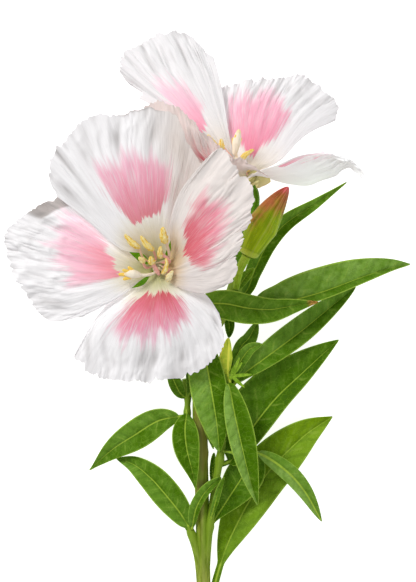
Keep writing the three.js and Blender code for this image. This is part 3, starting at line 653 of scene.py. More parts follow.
def bud_finish():
    f = Finish("bud flush", specular=0.1)
    along, round_ = f.tissue()
    [side], fine = f.marks("side"), f.body(3800)
    streak = f.grain(f.vector(round_ * 30, along * 2.5), 3.0)
    blotch = f.grain(f.vector(round_ * 9, along * 6, 3.0))
    drawn = streak.rise(0.3, 0.7)
    wander = along + (blotch - 0.5) * 0.03
    foot = 1 - wander.rise(0.04, 0.12)
    # Painted shade: the crease at the foot is sunk in the relief and painted darker green.
    fold = 1 - abs(wander - 0.09).rise(0.0, 0.02)
    browned = along + (blotch - 0.5) * 0.7 + (streak - 0.5) * 0.3 + side * 0.16
    reddened = along + side * 0.1 + (streak - 0.5) * 0.2
    seam = (round_ * (2 * math.pi * 2) + 0.9).wave()
    colour = f.layered(f.mix(drawn, "#7C9A00", "#A6BE16"),
                       (foot * 0.55, "#BCCA52"),
                       (fold * 0.3, "#5E7A08"),
                       (browned.rise(0.36, 0.86), f.mix(drawn, "#743812", "#BE7244")),
                       (reddened.rise(0.86, 0.99), f.mix(drawn, "#B23A34", "#DE6C76")),
                       (seam.rise(0.98, 1.0) * 0.15, "#C9C27A"))
    return f.show(colour, 0.4 + fine * 0.2, streak + fine * 0.3 - fold * 0.3, 0.0002)


STAMEN, STYLE, BUD_FLUSH = stamen_finish(), style_finish(), bud_finish()
print("finishes:", len(bpy.data.materials))

# %% [markdown]
# ## Trees of geometry nodes
#
# Three things here repeat or follow a path: the shoots, the down on the green parts and the
# pollen. A tree of geometry nodes makes each, with named inputs for its sizes and a fixed seed.
# The result is turned into a plain mesh, because a copied instance is lost when the plant is
# exported. The down and the pollen are both copies of one small shape over a skin, so the Recipe
# has the nodes for that.

# %% Build a tree, and turn its result into a mesh
class Recipe:
    """A tree of geometry nodes with named inputs."""

    def __init__(self, name, **inputs):
        self.tree = bpy.data.node_groups.new(name, "GeometryNodeTree")
        face = self.tree.interface
        face.new_socket("Geometry", in_out="INPUT", socket_type="NodeSocketGeometry")
        face.new_socket("Geometry", in_out="OUTPUT", socket_type="NodeSocketGeometry")
        for label, kind in inputs.items():
            face.new_socket(label.replace("_", " "), in_out="INPUT",
                            socket_type=f"NodeSocket{kind}")
        self.start = self.tree.nodes.new("NodeGroupInput")
        self.end = self.tree.nodes.new("NodeGroupOutput")

    def given(self, label):
        return self.start.outputs[label]

    def node(self, kind, settings=None, values=None, output=0):
        return add_node(self.tree, kind, settings, values).outputs[output]

    def math(self, operation, *amounts):
        values = dict(enumerate(amounts))
        return self.node("ShaderNodeMath", {"operation": operation}, values)

    def scatter(self):
        """Random places on the given skin, so many to a square metre."""
        return self.node("GeometryNodeDistributePointsOnFaces", values={
            "Mesh": self.given("Geometry"), "Density": self.given("Per square metre"),
            "Seed": self.given("Seed")})

    def copies(self, places, shape, smallest, largest, **turned):
        """A shape at each place, each of its own size, as real geometry."""
        size = self.node("FunctionNodeRandomValue", {"data_type": "FLOAT"},
                         {2: smallest, 3: largest, "Seed": self.given("Seed")}, output=1)
        made = self.node("GeometryNodeInstanceOnPoints", values={
            "Points": places, "Instance": shape, "Scale": size, **turned})
        return self.node("GeometryNodeRealizeInstances", values={0: made})

    def together(self, *parts):
        both = self.tree.nodes.new("GeometryNodeJoinGeometry")
        for part in parts:
            self.tree.links.new(part, both.inputs[0])
        return both.outputs[0]

    def covered(self, geometry, label):
        """The geometry with the material that the input of this name gives."""
        return self.node("GeometryNodeSetMaterial", values={0: geometry, 2: self.given(label)})

    def finish(self, socket):
        self.tree.links.new(socket, self.end.inputs[0])
        return self

    def run(self, data, **values):
        """Apply the tree to a mesh or a curve, and hand back a plain mesh."""
        base = placed("workpiece", data)
        modifier = base.modifiers.new("recipe", "NODES")
        modifier.node_group = self.tree
        labels = {s.name: s.identifier for s in self.tree.interface.items_tree
                  if s.in_out == "INPUT"}
        for label, value in values.items():
            modifier[labels[label.replace("_", " ")]] = value
        seen = base.evaluated_get(bpy.context.evaluated_depsgraph_get())
        mesh = bpy.data.meshes.new_from_object(seen)
        base.modifiers.clear()
        bpy.data.objects.remove(base)
        return mesh


# %% [markdown]
# ## Down
#
# The ovaries, the sepals and the buds wear very short pale hairs. Each hair is a slim three-sided
# spike that stands on the skin and leans a little. A few hundred on each piece catch the light
# along its outline. Hair curves would look as fine, but they aren't a mesh.

# %% The down's tree
HAIR_SIDES, HAIR_RADIUS = 3, 0.028  # the radius in millimetres, at the foot
FULL_TURN = 6.28  # radians


def make_down_recipe():
    r = Recipe("down", Length="Float", Radius="Float", Per_square_metre="Float", Lean="Float",
               Seed="Int", Skin="Material", Hair="Material")
    places = r.scatter()
    spike = r.node("GeometryNodeMeshCone", values={
        "Vertices": HAIR_SIDES, "Radius Top": 0.0, "Radius Bottom": r.given("Radius"),
        "Depth": r.given("Length")})
    lean, back = r.given("Lean"), r.math("MULTIPLY", r.given("Lean"), -1.0)
    least = r.node("ShaderNodeCombineXYZ", values={0: back, 1: back, 2: 0.0})
    most = r.node("ShaderNodeCombineXYZ", values={0: lean, 1: lean, 2: FULL_TURN})
    angles = r.node("FunctionNodeRandomValue", {"data_type": "FLOAT_VECTOR"},
                    {0: least, 1: most, "Seed": r.given("Seed")})
    turned = r.node("FunctionNodeRotateRotation", {"rotation_space": "LOCAL"}, {
        0: places.node.outputs["Rotation"],
        1: r.node("FunctionNodeEulerToRotation", values={0: angles})})
    hairs = r.copies(places, spike, 0.5, 1.15, Rotation=turned)
    return r.finish(r.together(r.covered(r.given("Geometry"), "Skin"), r.covered(hairs, "Hair")))


DOWN = make_down_recipe()


def downy(mesh, finish, length, per_square_mm, seed):
    """The same mesh with its down on it."""
    bare = len(mesh.polygons)
    hairy = DOWN.run(mesh, Length=length * METRES, Radius=HAIR_RADIUS * METRES,
                     Per_square_metre=per_square_mm * 1e6, Lean=0.5, Seed=seed,
                     Skin=finish.material, Hair=PALE_HAIR.material)
    print(mesh.name, "hairs:", (len(hairy.polygons) - bare) // (HAIR_SIDES + 1))
    return hairy


# %% [markdown]
# ## The stem and its shoots
#
# The main stem and four side shoots grew as one. Each shoot follows a path and tapers, swells a
# little where a leaf stands, and has low ridges that run down from the leaves. The tree sweeps a
# ridged ring along each path and closes its ends. The lower end is a plain cut. A curve with a
# round bevel would be quicker, but it can't carry the ridges.

# %% The paths of the shoots
SHOOTS = {
    "main": dict(swell=0.1, route=[
        (204, 675, 1.95), (203.5, 630, 3.5), (203.5, 582, 6.4), (203, 540, 9), (202, 500, 10.8),
        (201, 450, 12.6), (200, 400, 13.4), (205, 352, 14), (218, 318, 14.2), (230, 300, 13.8),
        (236, 285, 12.4)], radii=(1.85, 2.1), joints=(0.1, 0.42, 0.56, 0.755, 0.9)),
    "right": dict(swell=0.3, route=[
        (205.5, 612, 4.6), (207, 565, 8), (209.5, 530, 10.6), (212.5, 505, 12), (217, 475, 13),
        (221, 450, 13.4), (224, 420, 13.8), (226.5, 394, 14.4), (226.5, 382, 15),
        (225.4, 373.5, 15.6)], radii=(0.95, 1.1), joints=(0.36, 0.64, 0.93)),
    "leftLow": dict(swell=0.25, taper=0.4, route=[
        (201.5, 612, 4.4), (199.5, 570, 7.4), (195.5, 547, 9.1), (188.5, 527, 10.2)],
        radii=(1, 1.3), joints=(0.97,)),
    "leftHigh": dict(swell=0.4, route=[
        (200, 476, 11.6), (193.5, 450, 12), (188.5, 428, 12.4), (187, 413, 12.8),
        (187.5, 397, 14), (184.5, 379, 15.2)], radii=(0.9, 0.75), joints=(0.65, 0.81)),
    "bloomStalk": dict(swell=0.2, route=[
        (201, 386, 13.4), (194, 357, 14), (186, 334, 14.8), (180, 319, 15.6)],
        radii=(1.3, 1.15), joints=(0.95,)),
}
SHOOT_ROUTES = {name: Route(all_at(shoot["route"])) for name, shoot in SHOOTS.items()}
print("shoots in mm:", {name: round(route.length) for name, route in SHOOT_ROUTES.items()})


def shoot_radius(name, u):
    foot, tip = SHOOTS[name]["radii"]
    return foot + (tip - foot) * u


# %% Sweep a ridged ring along the paths
def make_shoot_recipe():
    r = Recipe("ridged shoot", Sides="Int", Ridges="Float", Ridge_height="Float",
               Skin="Material")
    ring = r.node("GeometryNodeCurvePrimitiveCircle", values={
        "Resolution": r.given("Sides"), "Radius": 1.0})
    factor = r.node("GeometryNodeSplineParameter")
    turns = r.math("MULTIPLY", r.math("MULTIPLY", factor, r.given("Ridges")), 2 * math.pi)
    swell = r.math("ADD", 1.0, r.math("MULTIPLY", r.math("COSINE", turns),
                                      r.given("Ridge height")))
    place = r.node("GeometryNodeInputPosition")
    out = r.node("ShaderNodeVectorMath", {"operation": "SCALE"}, {0: place, "Scale": swell})
    ring = r.node("GeometryNodeSetPosition", values={0: ring, "Position": out})
    kept = r.node("GeometryNodeStoreNamedAttribute", {"data_type": "FLOAT", "domain": "POINT"},
                  {0: ring, "Name": "ridge", 3: r.math("COSINE", turns)})
    width = r.node("GeometryNodeInputRadius")
    swept = r.node("GeometryNodeCurveToMesh", values={
        "Curve": r.given("Geometry"), "Profile Curve": kept, "Scale": width,
        "Fill Caps": True})
    swept = r.node("GeometryNodeSetShadeSmooth", values={0: swept})
    swept = r.node("GeometryNodeRealizeInstances", values={0: swept})
    return r.finish(r.covered(swept, "Skin"))


# %% The paths as one curve, and the stem
SHOOT_STEP = 0.8  # millimetres between the points of a path
WOBBLE, WOBBLE_LENGTH = 0.12, 9  # millimetres
JOINT_LENGTH = 1.3  # millimetres: half of the swelling where a leaf stands
TAPER_LENGTH = 3.0  # millimetres at the end of a shoot that narrows
FLUSH_BEGINS, FLUSH_ENDS = (-52, -34), (-8, 6)  # millimetres up the main stem
GREEN_BEGINS = (4, 16)  # above this, the main stem is young green too
CUT_ENDS = (-70, -52)  # below this, nothing is young green


def shoot_curve():
    """One curve with a line of points for each shoot, with its radius at each point."""
    curve = bpy.data.curves.new("shoot paths", "CURVE")
    curve.dimensions = "3D"
    for name, shoot in SHOOTS.items():
        route = SHOOT_ROUTES[name]
        steps = int(route.length / SHOOT_STEP)
        u = np.linspace(0, 1, steps + 1)
        places = route.place(u)
        line = curve.splines.new("POLY")
        line.points.add(steps)
        wobble = unrest(u * route.length / WOBBLE_LENGTH, 0.5, 11 + steps) * WOBBLE
        wobble = wobble * ease(u, 0, 0.05) * ease(1 - u, 0, 0.05)
        for i, point in enumerate(line.points):
            x, y, z = places[i] * METRES
            point.co = (x + wobble[i] * METRES, y, z, 1)
            joint = sum(math.exp(-(((u[i] - j) * route.length / JOINT_LENGTH) ** 2))
                        for j in shoot["joints"])
            taper = 1 - shoot.get("taper", 0) * ease(u[i], 1 - TAPER_LENGTH / route.length, 1)
            point.radius = shoot_radius(name, u[i]) * (1 + shoot["swell"] * joint * taper)
            point.radius *= taper * METRES
    return curve


def near_route(places, route, samples=80):
    """How far each place is from a route."""
    line = route.place(np.linspace(0, 1, samples))
    return np.min([np.linalg.norm(places - p, axis=1) for p in line], axis=0)


def make_stem():
    mesh = make_shoot_recipe().run(shoot_curve(), Sides=32, Ridges=4.0, Ridge_height=0.05,
                                   Skin=STEM.material)
    places = np.array([v.co for v in mesh.vertices]) / METRES
    nearest = {name: near_route(places, route) for name, route in SHOOT_ROUTES.items()}
    main = ease(np.minimum.reduce([nearest[n] for n in nearest if n != "main"])
                - nearest["main"], -0.4, 0.8)
    up = places[:, 1]
    keep_mark(mesh, "young", (1 - main * (1 - ease(up, *GREEN_BEGINS))) * ease(up, *CUT_ENDS))
    keep_mark(mesh, "flush", main * ease(up, *FLUSH_BEGINS) * (1 - ease(up, *FLUSH_ENDS)))
    stand_for("stem", mesh)


make_stem()

# %% [markdown]
# ## The leaves
#
# A godetia leaf is lance-shaped, folded along its rib like a shallow keel, and its edges wave. It
# is one surface with a rule: the rib is a route, the half widths follow one outline, and the
# edges lift. Modelling by hand would suit one leaf; a rule suits all 23 and keeps them kin. Where
# a leaf has two values for a measure, the first is for its left half, seen from its foot, and the
# second for its right half.

# %% The leaves' ribs, widths and tones
# A leaf's tones, one for each half, hold painted light and shade as well as its own tone.
LEAVES = {
    "leaf_right_long": dict(start=("main", 0.95), rib=[(256, 301.5, 14.2), (283, 302, 14),
        (320, 293, 12.4), (359.5, 278.5, 9), (389.5, 268.5, 4.6), (411, 264, 0.3)],
        half=(7.4, 2.1), widest=0.38, lift=(0.8, 1.8), petiole=0.12, tone=(0.76, 0.48)),
    "leaf_right_curled": dict(start=("main", 0.88), rib=[(207, 306, 16.8), (224, 303.5, 18),
        (248, 308, 18.6), (270, 309.5, 18.2), (294, 305.5, 17.2), (318, 302, 16.4)],
        half=(4.1, 4.8), widest=0.34, lift=(1.4, 0.8), wave=0.6, tone=(0.54, 0.47), dried=0.84),
    "leaf_right_upper": dict(start=("right", 0.93), rib=[(244, 374, 12.8), (264, 359, 12),
        (300, 332.5, 8.6), (329.5, 308.5, 6), (356, 287, 4)], half=(4.4, 3.5), widest=0.48,
        lift=1, tone=(0.68, 0.44)),
    "leaf_right_middle": dict(start=("right", 0.62), rib=[(233, 459, 10.8), (243.5, 440.5, 9.8),
        (273.5, 401.5, 7.8), (302, 374, 7), (339, 340, 5)], half=(10.1, 4.3), widest=0.33,
        full=1.4, lift=(1.2, 1), foot=0.8, tone=(0.44, 0.32)),
    "leaf_right_lower": dict(start=("main", 0.1), rib=[(215, 616, 4.2), (213.6, 594, 5),
        (219.4, 569, 5.6), (229.6, 540.5, 5.6), (252, 497.5, 5.2), (271.5, 469.5, 4.8),
        (304, 437, 4.2), (333, 417, 3.4)], half=(7.9, 6.4), widest=0.52, full=2.1, lift=(0.8, 1),
        petiole=0.28, foot=1.35, tone=(0.42, 0.6), yellow=0.28),
    "leaf_right_drooping": dict(start=("right", 0.68), rib=[(236, 453, 14.8), (258, 453, 13.8),
        (285, 470, 12), (305, 492, 10), (322, 522, 8)], half=(2.7, 2.5), widest=0.41,
        lift=(-0.6, -0.8), petiole=0.27, tone=(0.7, 0.88)),
    "leaf_front_hanging": dict(start=("right", 0.95), rib=[(229.5, 387, 19), (233, 406, 19.5),
        (239, 434, 19), (248, 472, 17.4), (257.5, 505, 15.6)], half=(4.5, 3.3), widest=0.41,
        full=1.7, lift=(0.9, 1.1), tone=(0.38, 0.88)),
    "leaf_right_shaded": dict(start=("right", 0.36), rib=[(218, 515, 9.4), (229, 498, 8.6),
        (242, 478, 8.2), (258, 452, 7.8)], half=(5.2, 6), widest=0.66, full=2, lift=0.6,
        tone=(0.47, 0.41)),
    "leaf_centre_hanging": dict(start=("main", 0.87), rib=[(203, 345, 18), (207, 366, 18.3),
        (212, 394, 18.2), (217, 425, 17.4), (219.5, 452, 16.6)], half=(4.7, 6.1), widest=0.44,
        full=1.5, lift=0.2, tone=(0.34, 0.76)),
    "leaf_left_upper": dict(start=("leftHigh", 0.62), rib=[(159.5, 420.5, 11.4), (135, 435, 8.8),
        (111.5, 450.5, 5), (89, 471, 0.3)], half=(4.6, 4.3), widest=0.37, full=2, lift=0.9,
        foot=0.5, tone=(0.46, 0.64)),
    "leaf_left_lower": dict(start=("leftLow", 1.0), rib=[(178.5, 511.5, 9.4), (164, 493.5, 8.8),
        (151, 479, 7.6), (134, 465.5, 5.4), (116, 459, 3)], half=(4, 4.6), widest=0.4, lift=0.8,
        petiole=0.03, foot=1.2, tone=(0.6, 0.48)),
    "leaf_left_hanging": dict(start=("leftHigh", 0.68), rib=[(185, 430, 16.6), (187, 450, 16.8),
        (192, 470, 16.4), (196, 490, 15.6)], half=(4, 3.9), widest=0.35, full=2.2, lift=0.7,
        tone=(0.42, 0.34)),
    "leaf_behind_bud": dict(start=("main", 0.93), rib=[(246.5, 291, 10.7), (254.5, 271, 9.6),
        (268, 244, 9), (286.5, 223, 8.8), (315.5, 204, 8.4), (347, 182, 8)], half=(2.9, 2.5),
        widest=0.4, full=2.1, lift=0.8, tone=(0.6, 0.42)),
    "leaf_small_crossing": dict(start=("leftLow", 0.96), rib=[(196, 509, 13.8),
        (206, 491.5, 14.6), (221, 477.5, 15)], half=(2.1, 1.3), widest=0.46, full=1.1, lift=0.5,
        tone=(0.6, 0.4)),
    "leaf_small_narrow": dict(start=("right", 0.4), rib=[(214, 507, 14.8), (219, 490, 15.8),
        (224, 477, 16.4)], half=(0.9, 0.9), widest=0.5, lift=0.3, tone=(0.6, 0.4)),
    "leaf_small_shoot": dict(start=("right", 0.52), rib=[(212.6, 478, 11), (212.6, 466, 11),
        (214, 453, 11.4)], half=(0.8, 0.9), widest=0.5, full=1.7, lift=0.4, tone=(0.3, 0.4)),
    "leaf_small_stem": dict(start=("main", 0.755), rib=[(205, 404, 15.9), (207.5, 426, 15.8),
        (213.5, 449, 15.2)], half=(1.4, 1.6), widest=0.4, lift=0.3, tone=(0.5, 0.5)),
    "leaf_small_under_bud": dict(start=("main", 0.985), rib=[(244, 279, 14.4), (254, 268, 15.2)],
        half=(1.6, 1.4), widest=0.45, lift=0.4, tone=(0.68, 0.6), yellow=0.2),
    "leaf_small_grey": dict(start=("right", 0.96), rib=[(237, 369, 14.2), (242, 359, 14.4),
        (250, 349, 14.4), (262, 344, 14.2)], half=(1.9, 1.8), widest=0.55, full=1.8, lift=0.5,
        tone=(0.7, 0.6)),
    "leaf_small_behind": dict(start=("right", 0.88), rib=[(239, 352, 10.6), (249, 338, 10.2),
        (257.5, 322, 10)], half=(2, 2.8), widest=0.6, full=1.8, lift=0.5, tone=(0.66, 0.52)),
    "leaf_small_dark": dict(start=("main", 0.92), rib=[(227, 312, 11), (229, 324, 10.8),
        (229, 338, 10.6)], half=(1.7, 1.3), widest=0.5, full=1.8, lift=0.4, tone=(0.2, 0.2)),
    "leaf_small_left": dict(start=("leftHigh", 0.8), rib=[(180, 393, 15.2), (174.5, 382, 16.4),
        (169, 370, 17)], half=(1.9, 2.1), widest=0.5, full=1.7, lift=0.4, tone=(0.45, 0.4)),
    "leaf_small_tip": dict(start=("leftHigh", 0.82), rib=[(190.5, 388, 15.8), (190, 374, 16.6),
        (189.5, 362, 16.8)], half=(1.3, 1.3), widest=0.45, full=1.7, lift=0.3, tone=(0.5, 0.6)),
}

# %% One leaf's surface
SEAT_GAP = 0.3  # between the plain solids of two pieces that grow from each other
SUNK = 0.5  # how deep a leaf's foot starts inside its shoot
LEAST_TIP = 0.15  # half the width of a leaf's tip
FULL = 1.6  # how fast a leaf widens; higher is slimmer at both ends


def seat_on(start, towards):
    """The place just under a shoot's skin where a leaf's foot starts."""
    name, u = start
    centre, heading = SHOOT_ROUTES[name].place(u), SHOOT_ROUTES[name].heading(u)
    outward = towards - centre
    if u == 1:
        return centre - unit(outward) * SUNK
    outward = outward - heading * np.dot(outward, heading)
    return centre + unit(outward) * (shoot_radius(name, u) - SUNK)


def leaf_outline(u, widest, full):
    u = np.clip(u, 0, 1)
    return (u / widest) ** (full * widest) * ((1 - u) / (1 - widest)) ** (full * (1 - widest))


def of_half(value, which):
    """A leaf's measure at each point, from one value or from one for each half."""
    return np.broadcast_to(np.asarray(value, float), 2)[which]


def leaf_grid(leaf, points, along, across, seed, deeper=1.6):
    """Points on a leaf's middle surface, and the values that its finish reads."""
    route = Route(points)
    u, v = np.meshgrid(np.linspace(0, 1, along + 1), np.linspace(0, 1, across + 1),
                       indexing="ij")
    side = 2 * v - 1
    out, which = np.abs(side), (side >= 0).astype(int)
    place, heading = route.place(u), route.heading(u, 0.01)
    right = unit(np.stack([heading[..., 1], -heading[..., 0], np.zeros_like(u)], -1))
    petiole, foot = leaf.get("petiole", 0.06), leaf.get("foot", 0.45)
    shape = leaf_outline(np.maximum(0, u - petiole) / (1 - petiole), leaf["widest"],
                         leaf.get("full", FULL))
    half, lift = of_half(leaf["half"], which), of_half(leaf["lift"], which) * shape
    least = foot + (LEAST_TIP - foot) * u
    reach = least + (half - least) * shape
    wave = leaf.get("wave", 0.25) * np.sin(9 * u + 2 * which) * shape
    keel = deeper * 0.35 * shape * np.sign(lift) * np.minimum(1, half / 4)
    wobble = 0.16 * shape * unrest(u * 7, v * 3, seed)
    place = place + right * (side * reach)[..., None]
    place[..., 2] += out * (lift + wave) + keel * out**0.8 + wobble * out
    return place, u, v, side, reach, shape, which


# %% All leaves
LARGE_GRID, SMALL_GRID = (84, 24), (36, 12)  # steps along and across
BLADE, EDGE_THINNER = 0.5, 0.28  # millimetres of thickness
GROOVE_DEPTH, GROOVE_WIDTH = 0.1, 0.35  # millimetres, over the rib
STALK, STALK_ENDS = 0.9, 0.12  # the stalk's roundness in mm, and how far up the blade it runs
DRIED_OVER = 0.16  # the share of a leaf over which it dries
VEINED_FROM = 7  # millimetres: a leaf that is as wide as this has all its veins


def make_leaf(node, leaf, seed):
    ribs = all_at(leaf["rib"])
    along, across = SMALL_GRID if node.startswith("leaf_small") else LARGE_GRID
    middle, u, v, side, reach, shape, which = leaf_grid(
        leaf, [seat_on(leaf["start"], ribs[0]), *ribs], along, across, seed)
    out = np.abs(side)
    middle[..., 2] -= GROOVE_DEPTH * np.exp(-((out * reach / GROOVE_WIDTH) ** 2)) * (shape > 0)
    petiole = leaf.get("petiole", 0.06)
    stalk = 1 - ease(u, petiole, petiole + STALK_ENDS)
    thick = (BLADE - EDGE_THINNER * ease(out, 0.3, 1.0) * shape
             + stalk * STALK * np.sqrt(np.clip(1 - side**2, 0, 1)))
    points, faces = sheet_mesh(middle, thick)
    dried = leaf.get("dried", 2)
    width = sum(leaf["half"])
    values = {"rib": side * reach, "edge": out, "tone": of_half(leaf["tone"], which),
              "yellow": np.full_like(u, leaf.get("yellow", 0.0)),
              "dried": ease(u, dried, dried + DRIED_OVER),
              "veined": np.full_like(u, min(1, width / VEINED_FROM))}
    marks = {mark: both_sides(value) for mark, value in values.items()}
    stand_for(node, new_mesh(f"{node}_mesh", points, faces, LEAF, sheet_uv(u, v), marks))


for number, (node, leaf) in enumerate(LEAVES.items()):
    make_leaf(node, leaf, 100 + number)
print("leaves:", len(LEAVES))

# %% [markdown]
# ## The tuft of tiny leaves
#
# Beside the small bud a side shoot is only just unfolding: five leaves of a few millimetres on a
# short core. They use the leaves' rule at a small size, and are one piece because they are still
# one growing point. Five pieces would only add seams that nobody sees.

# %% The tuft
TUFT = dict(start=(231.5, 376, 16.9),
            core=[(229.8, 379, 17), (231.5, 376, 17), (233.5, 372, 17.2)], core_radius=0.6,
            tips=[(239.5, 357.5, 18.4), (242, 362.5, 17.6), (233.5, 366, 17.4),
                  (251.5, 374.5, 16.6), (244.5, 387.5, 16.8)],
            arch=0.4, leaf=dict(half=0.52, widest=0.38, lift=0.1, wave=0.0, foot=0.3))


def make_tuft():
    foot = at(TUFT["start"])
    core = Route(all_at(TUFT["core"]))
    parts = [rod_mesh(core, lambda u, a: TUFT["core_radius"] * (1 - 0.5 * u), 12, 10)]
    uv = [plain_uv(parts[0])]
    for number, tip in enumerate(TUFT["tips"]):
        end = at(tip)
        middle = (foot + end) / 2 + np.array([0, 0, TUFT["arch"]])
        grid, u, v, side, _, shape, _ = leaf_grid(TUFT["leaf"], [foot, middle, end], 18, 8,
                                                  300 + number)
        parts.append(sheet_mesh(grid, 0.4 - 0.2 * np.abs(side) * shape))
        uv.append(sheet_uv(u, v))
    points, faces = joined(parts)
    stand_for("tuft", new_mesh("tuft_mesh", points, faces, UNFOLDING, np.vstack(uv)))


make_tuft()

# %% [markdown]
# ## The blooms
#
# Each bloom grows on a slim ovary, which widens into a short tube. At its mouth stand four
# petals, eight stamens and the style. All are placed by the mouth: its middle, the way that it
# faces and two directions across it. They could be set one by one, but feet that are tied to the
# mouth all meet there. A petal's left and right edges run from its claw to its rim, and its patch
# is the outline of the pink. The other lists are routes.

# %% The measures of the front bloom
# A petal's angle is in degrees round the mouth and its bulge in millimetres. `pleats` is how many
# cross it and `turn` where they start, `crumple` how dented it is, and `calm` the shares of its
# width over which its fan pleats fade. `turned` is a stretch of rim painted grey-beige, the shade
# of a rim turned over, and `shade` a hollow painted in shade. A stamen's foot and tip are its
# anther's, `held` is where its filament meets the anther, and `bend` a place that the filament
# passes. `wide` is the anther's radius, `stalk` sets the filament's, `curl` bends the anther
# aside, and `gold` and `rosy` colour the two.
FRONT = dict(
    tube=dict(route=[(179, 317, 15.9), (172, 302, 17.4), (163, 286, 19.6), (158, 275, 22.4),
                     (157, 270, 25)], radius=1.45),
    petals=dict(
        upper=dict(
            angle=95, bulge=1.5, pleats=5, turn=0.6, crumple=0.08, calm=(0.62, 0.75),
            turned=[(0.52, 0.7, 0.02)],
            shade=[(0.55, 0.85, 0.25, 0.6, 0.72)],
            left=[(143, 254, 27.5), (120, 248.5, 30), (85, 218, 31.6)],
            rim=[(58, 197, 32), (51, 178, 33), (55, 150, 35), (74, 131, 36), (97, 116, 36),
                 (119, 115, 36), (139, 106, 35.5), (158, 110, 34.5), (175, 117, 33.5),
                 (190, 143, 32.5), (203, 166, 32)],
            right=[(167, 250, 27.2), (175, 230, 29), (190, 200, 31)],
            patch=[(95, 175), (99, 167), (111, 168), (122, 158), (131, 152), (144, 153),
                   (155, 157), (166, 161), (173, 171), (172, 189), (169, 203), (159, 214),
                   (146, 219), (134, 223), (123, 213), (113, 203), (106, 193), (99, 182)]),
        right=dict(
            angle=-3, bulge=0.5, pleats=4, turn=2.1, crumple=0.24,
            left=[(171, 250, 28.5), (170, 225, 33.5), (180, 193, 37)],
            rim=[(203, 163, 40), (220, 150, 41.5), (234, 165, 43), (239.5, 171, 43.2),
                 (238.5, 176, 43.2), (245, 179.5, 43.4), (251.5, 187, 43.5), (255, 198, 43.5),
                 (253, 209, 43.2), (249, 223, 42.8), (241, 232, 42), (245, 238.5, 41.4),
                 (243, 246, 41), (236, 256, 39.4), (236.5, 268, 38), (235, 278, 36.6),
                 (223, 287, 34)],
            right=[(174, 285, 28), (190, 291, 30), (206, 293, 32)],
            patch=[(182, 229), (186, 220), (192, 212), (191, 205), (198, 196), (207, 190),
                   (214, 201), (224, 209), (228, 217), (224, 233), (222, 242), (217, 250),
                   (219, 259), (213, 267), (205, 270), (198, 267), (192, 264), (186, 255),
                   (186, 240)]),
        lower=dict(
            angle=-90, bulge=4.5, pleats=5, turn=1.3,
            left=[(176, 281, 26), (190, 287, 25.5), (206, 295, 25)],
            rim=[(219, 313, 25), (224, 335, 25), (220, 353, 24.5), (203, 368, 24),
                 (182, 377, 23.5), (150, 381, 23), (115, 381, 23), (91, 374, 23), (76, 360, 23.5),
                 (80, 344, 24), (93, 326, 24.5)],
            right=[(144, 285, 25.8), (128, 290, 25.2), (110, 301, 25)],
            patch=[(125, 303), (136, 297), (152, 294), (161, 292), (172, 294), (182, 296),
                   (186, 304), (190, 321), (181, 327), (168, 333), (154, 337), (141, 344),
                   (130, 339), (120, 343), (115, 338), (112, 327), (118, 315)]),
        left=dict(
            angle=182, bulge=1, pleats=5, turn=0.2, crumple=0.36,
            turned=[(0.8, 0.985, 0.13)],
            left=[(140, 281, 26.8), (126, 293, 27.5), (104, 306, 28)],
            rim=[(83, 317, 28), (56, 321, 27.5), (34, 306, 27.5), (17, 281, 28), (8, 250, 28.5),
                 (9, 229, 29), (27, 214, 29.5), (45, 203, 29.5), (66, 197, 29.3)],
            right=[(140, 262, 26.5), (122, 245, 27.3), (96, 222, 28.5)],
            patch=[(119, 276), (113, 260), (108, 244), (94, 229), (81, 218), (67, 213),
                   (53, 219), (53, 227), (56, 235), (47, 244), (55, 248), (53, 256), (57, 264),
                   (67, 268), (70, 285), (90, 284), (108, 279)])),
    stamens=[dict(angle=150, foot=(140.5, 248, 32.5), tip=(125.5, 234.5, 34.5), rosy=0.5,
                  bend=(143, 257, 30), held=(139.5, 247, 32.4)),
             dict(angle=115, foot=(154, 250.5, 33), tip=(141.5, 236, 35.5), rosy=0.9,
                  bend=(156, 258, 30), held=(153, 249, 33)),
             dict(angle=60, foot=(166.5, 243.5, 34), tip=(163.5, 227.5, 36.5), wide=1.05,
                  rosy=0.4, stalk=0.5, bend=(169, 257, 30), held=(166.6, 242, 34)),
             dict(angle=88, foot=(161, 258.5, 32), tip=(161.5, 246.5, 34.5), wide=0.72,
                  stalk=0.62, bend=(169.5, 262, 30), held=(162, 254, 33)),
             dict(angle=185, foot=(145.5, 261, 30.5), tip=(139.5, 257, 32.5), wide=0.8, curl=0.9,
                  gold=0.7, stalk=0.5, bend=(146, 267.5, 29), held=(142.5, 259.5, 31)),
             dict(angle=235, foot=(153, 264, 31), tip=(151.5, 256.5, 33.5), wide=0.95,
                  stalk=0.72, bend=(159, 274, 29), held=(152.5, 263, 31.4)),
             dict(angle=20, foot=(162.5, 274, 30), tip=(166, 258.5, 33), wide=0.6, curl=-0.9,
                  stalk=0.62, bend=(171, 273.5, 29), held=(165, 266, 31)),
             dict(angle=320, foot=(168, 281.5, 29), tip=(173.5, 271, 31), gold=0.45, wide=0.8,
                  rosy=0.1)],
    style=dict(route=[(156, 272, 27.5), (148, 275, 29.6), (138, 275, 31)],
               club=[(141.5, 275.5, 31), (133, 274, 32), (124.5, 274, 32.4)],
               lobes=[(119, 274.5, 31.6), (128.5, 267, 32.4), (123.5, 279.5, 31.8),
                      (123, 270, 33)]),
    sepal_half=1.8,
    sepals=[dict(angle=140, rib=[(137, 256, 22.2), (120, 240, 21.4), (104, 226, 20.6)]),
            dict(angle=52, rib=[(174, 247, 22.2), (182, 228, 21.4), (188, 210, 20.6)]),
            dict(angle=-40, rib=[(172, 284, 22.2), (186, 296, 21.4), (198, 308, 20.6)]),
            dict(angle=220, rib=[(142, 286, 22), (128, 300, 21), (118, 316, 20)])])

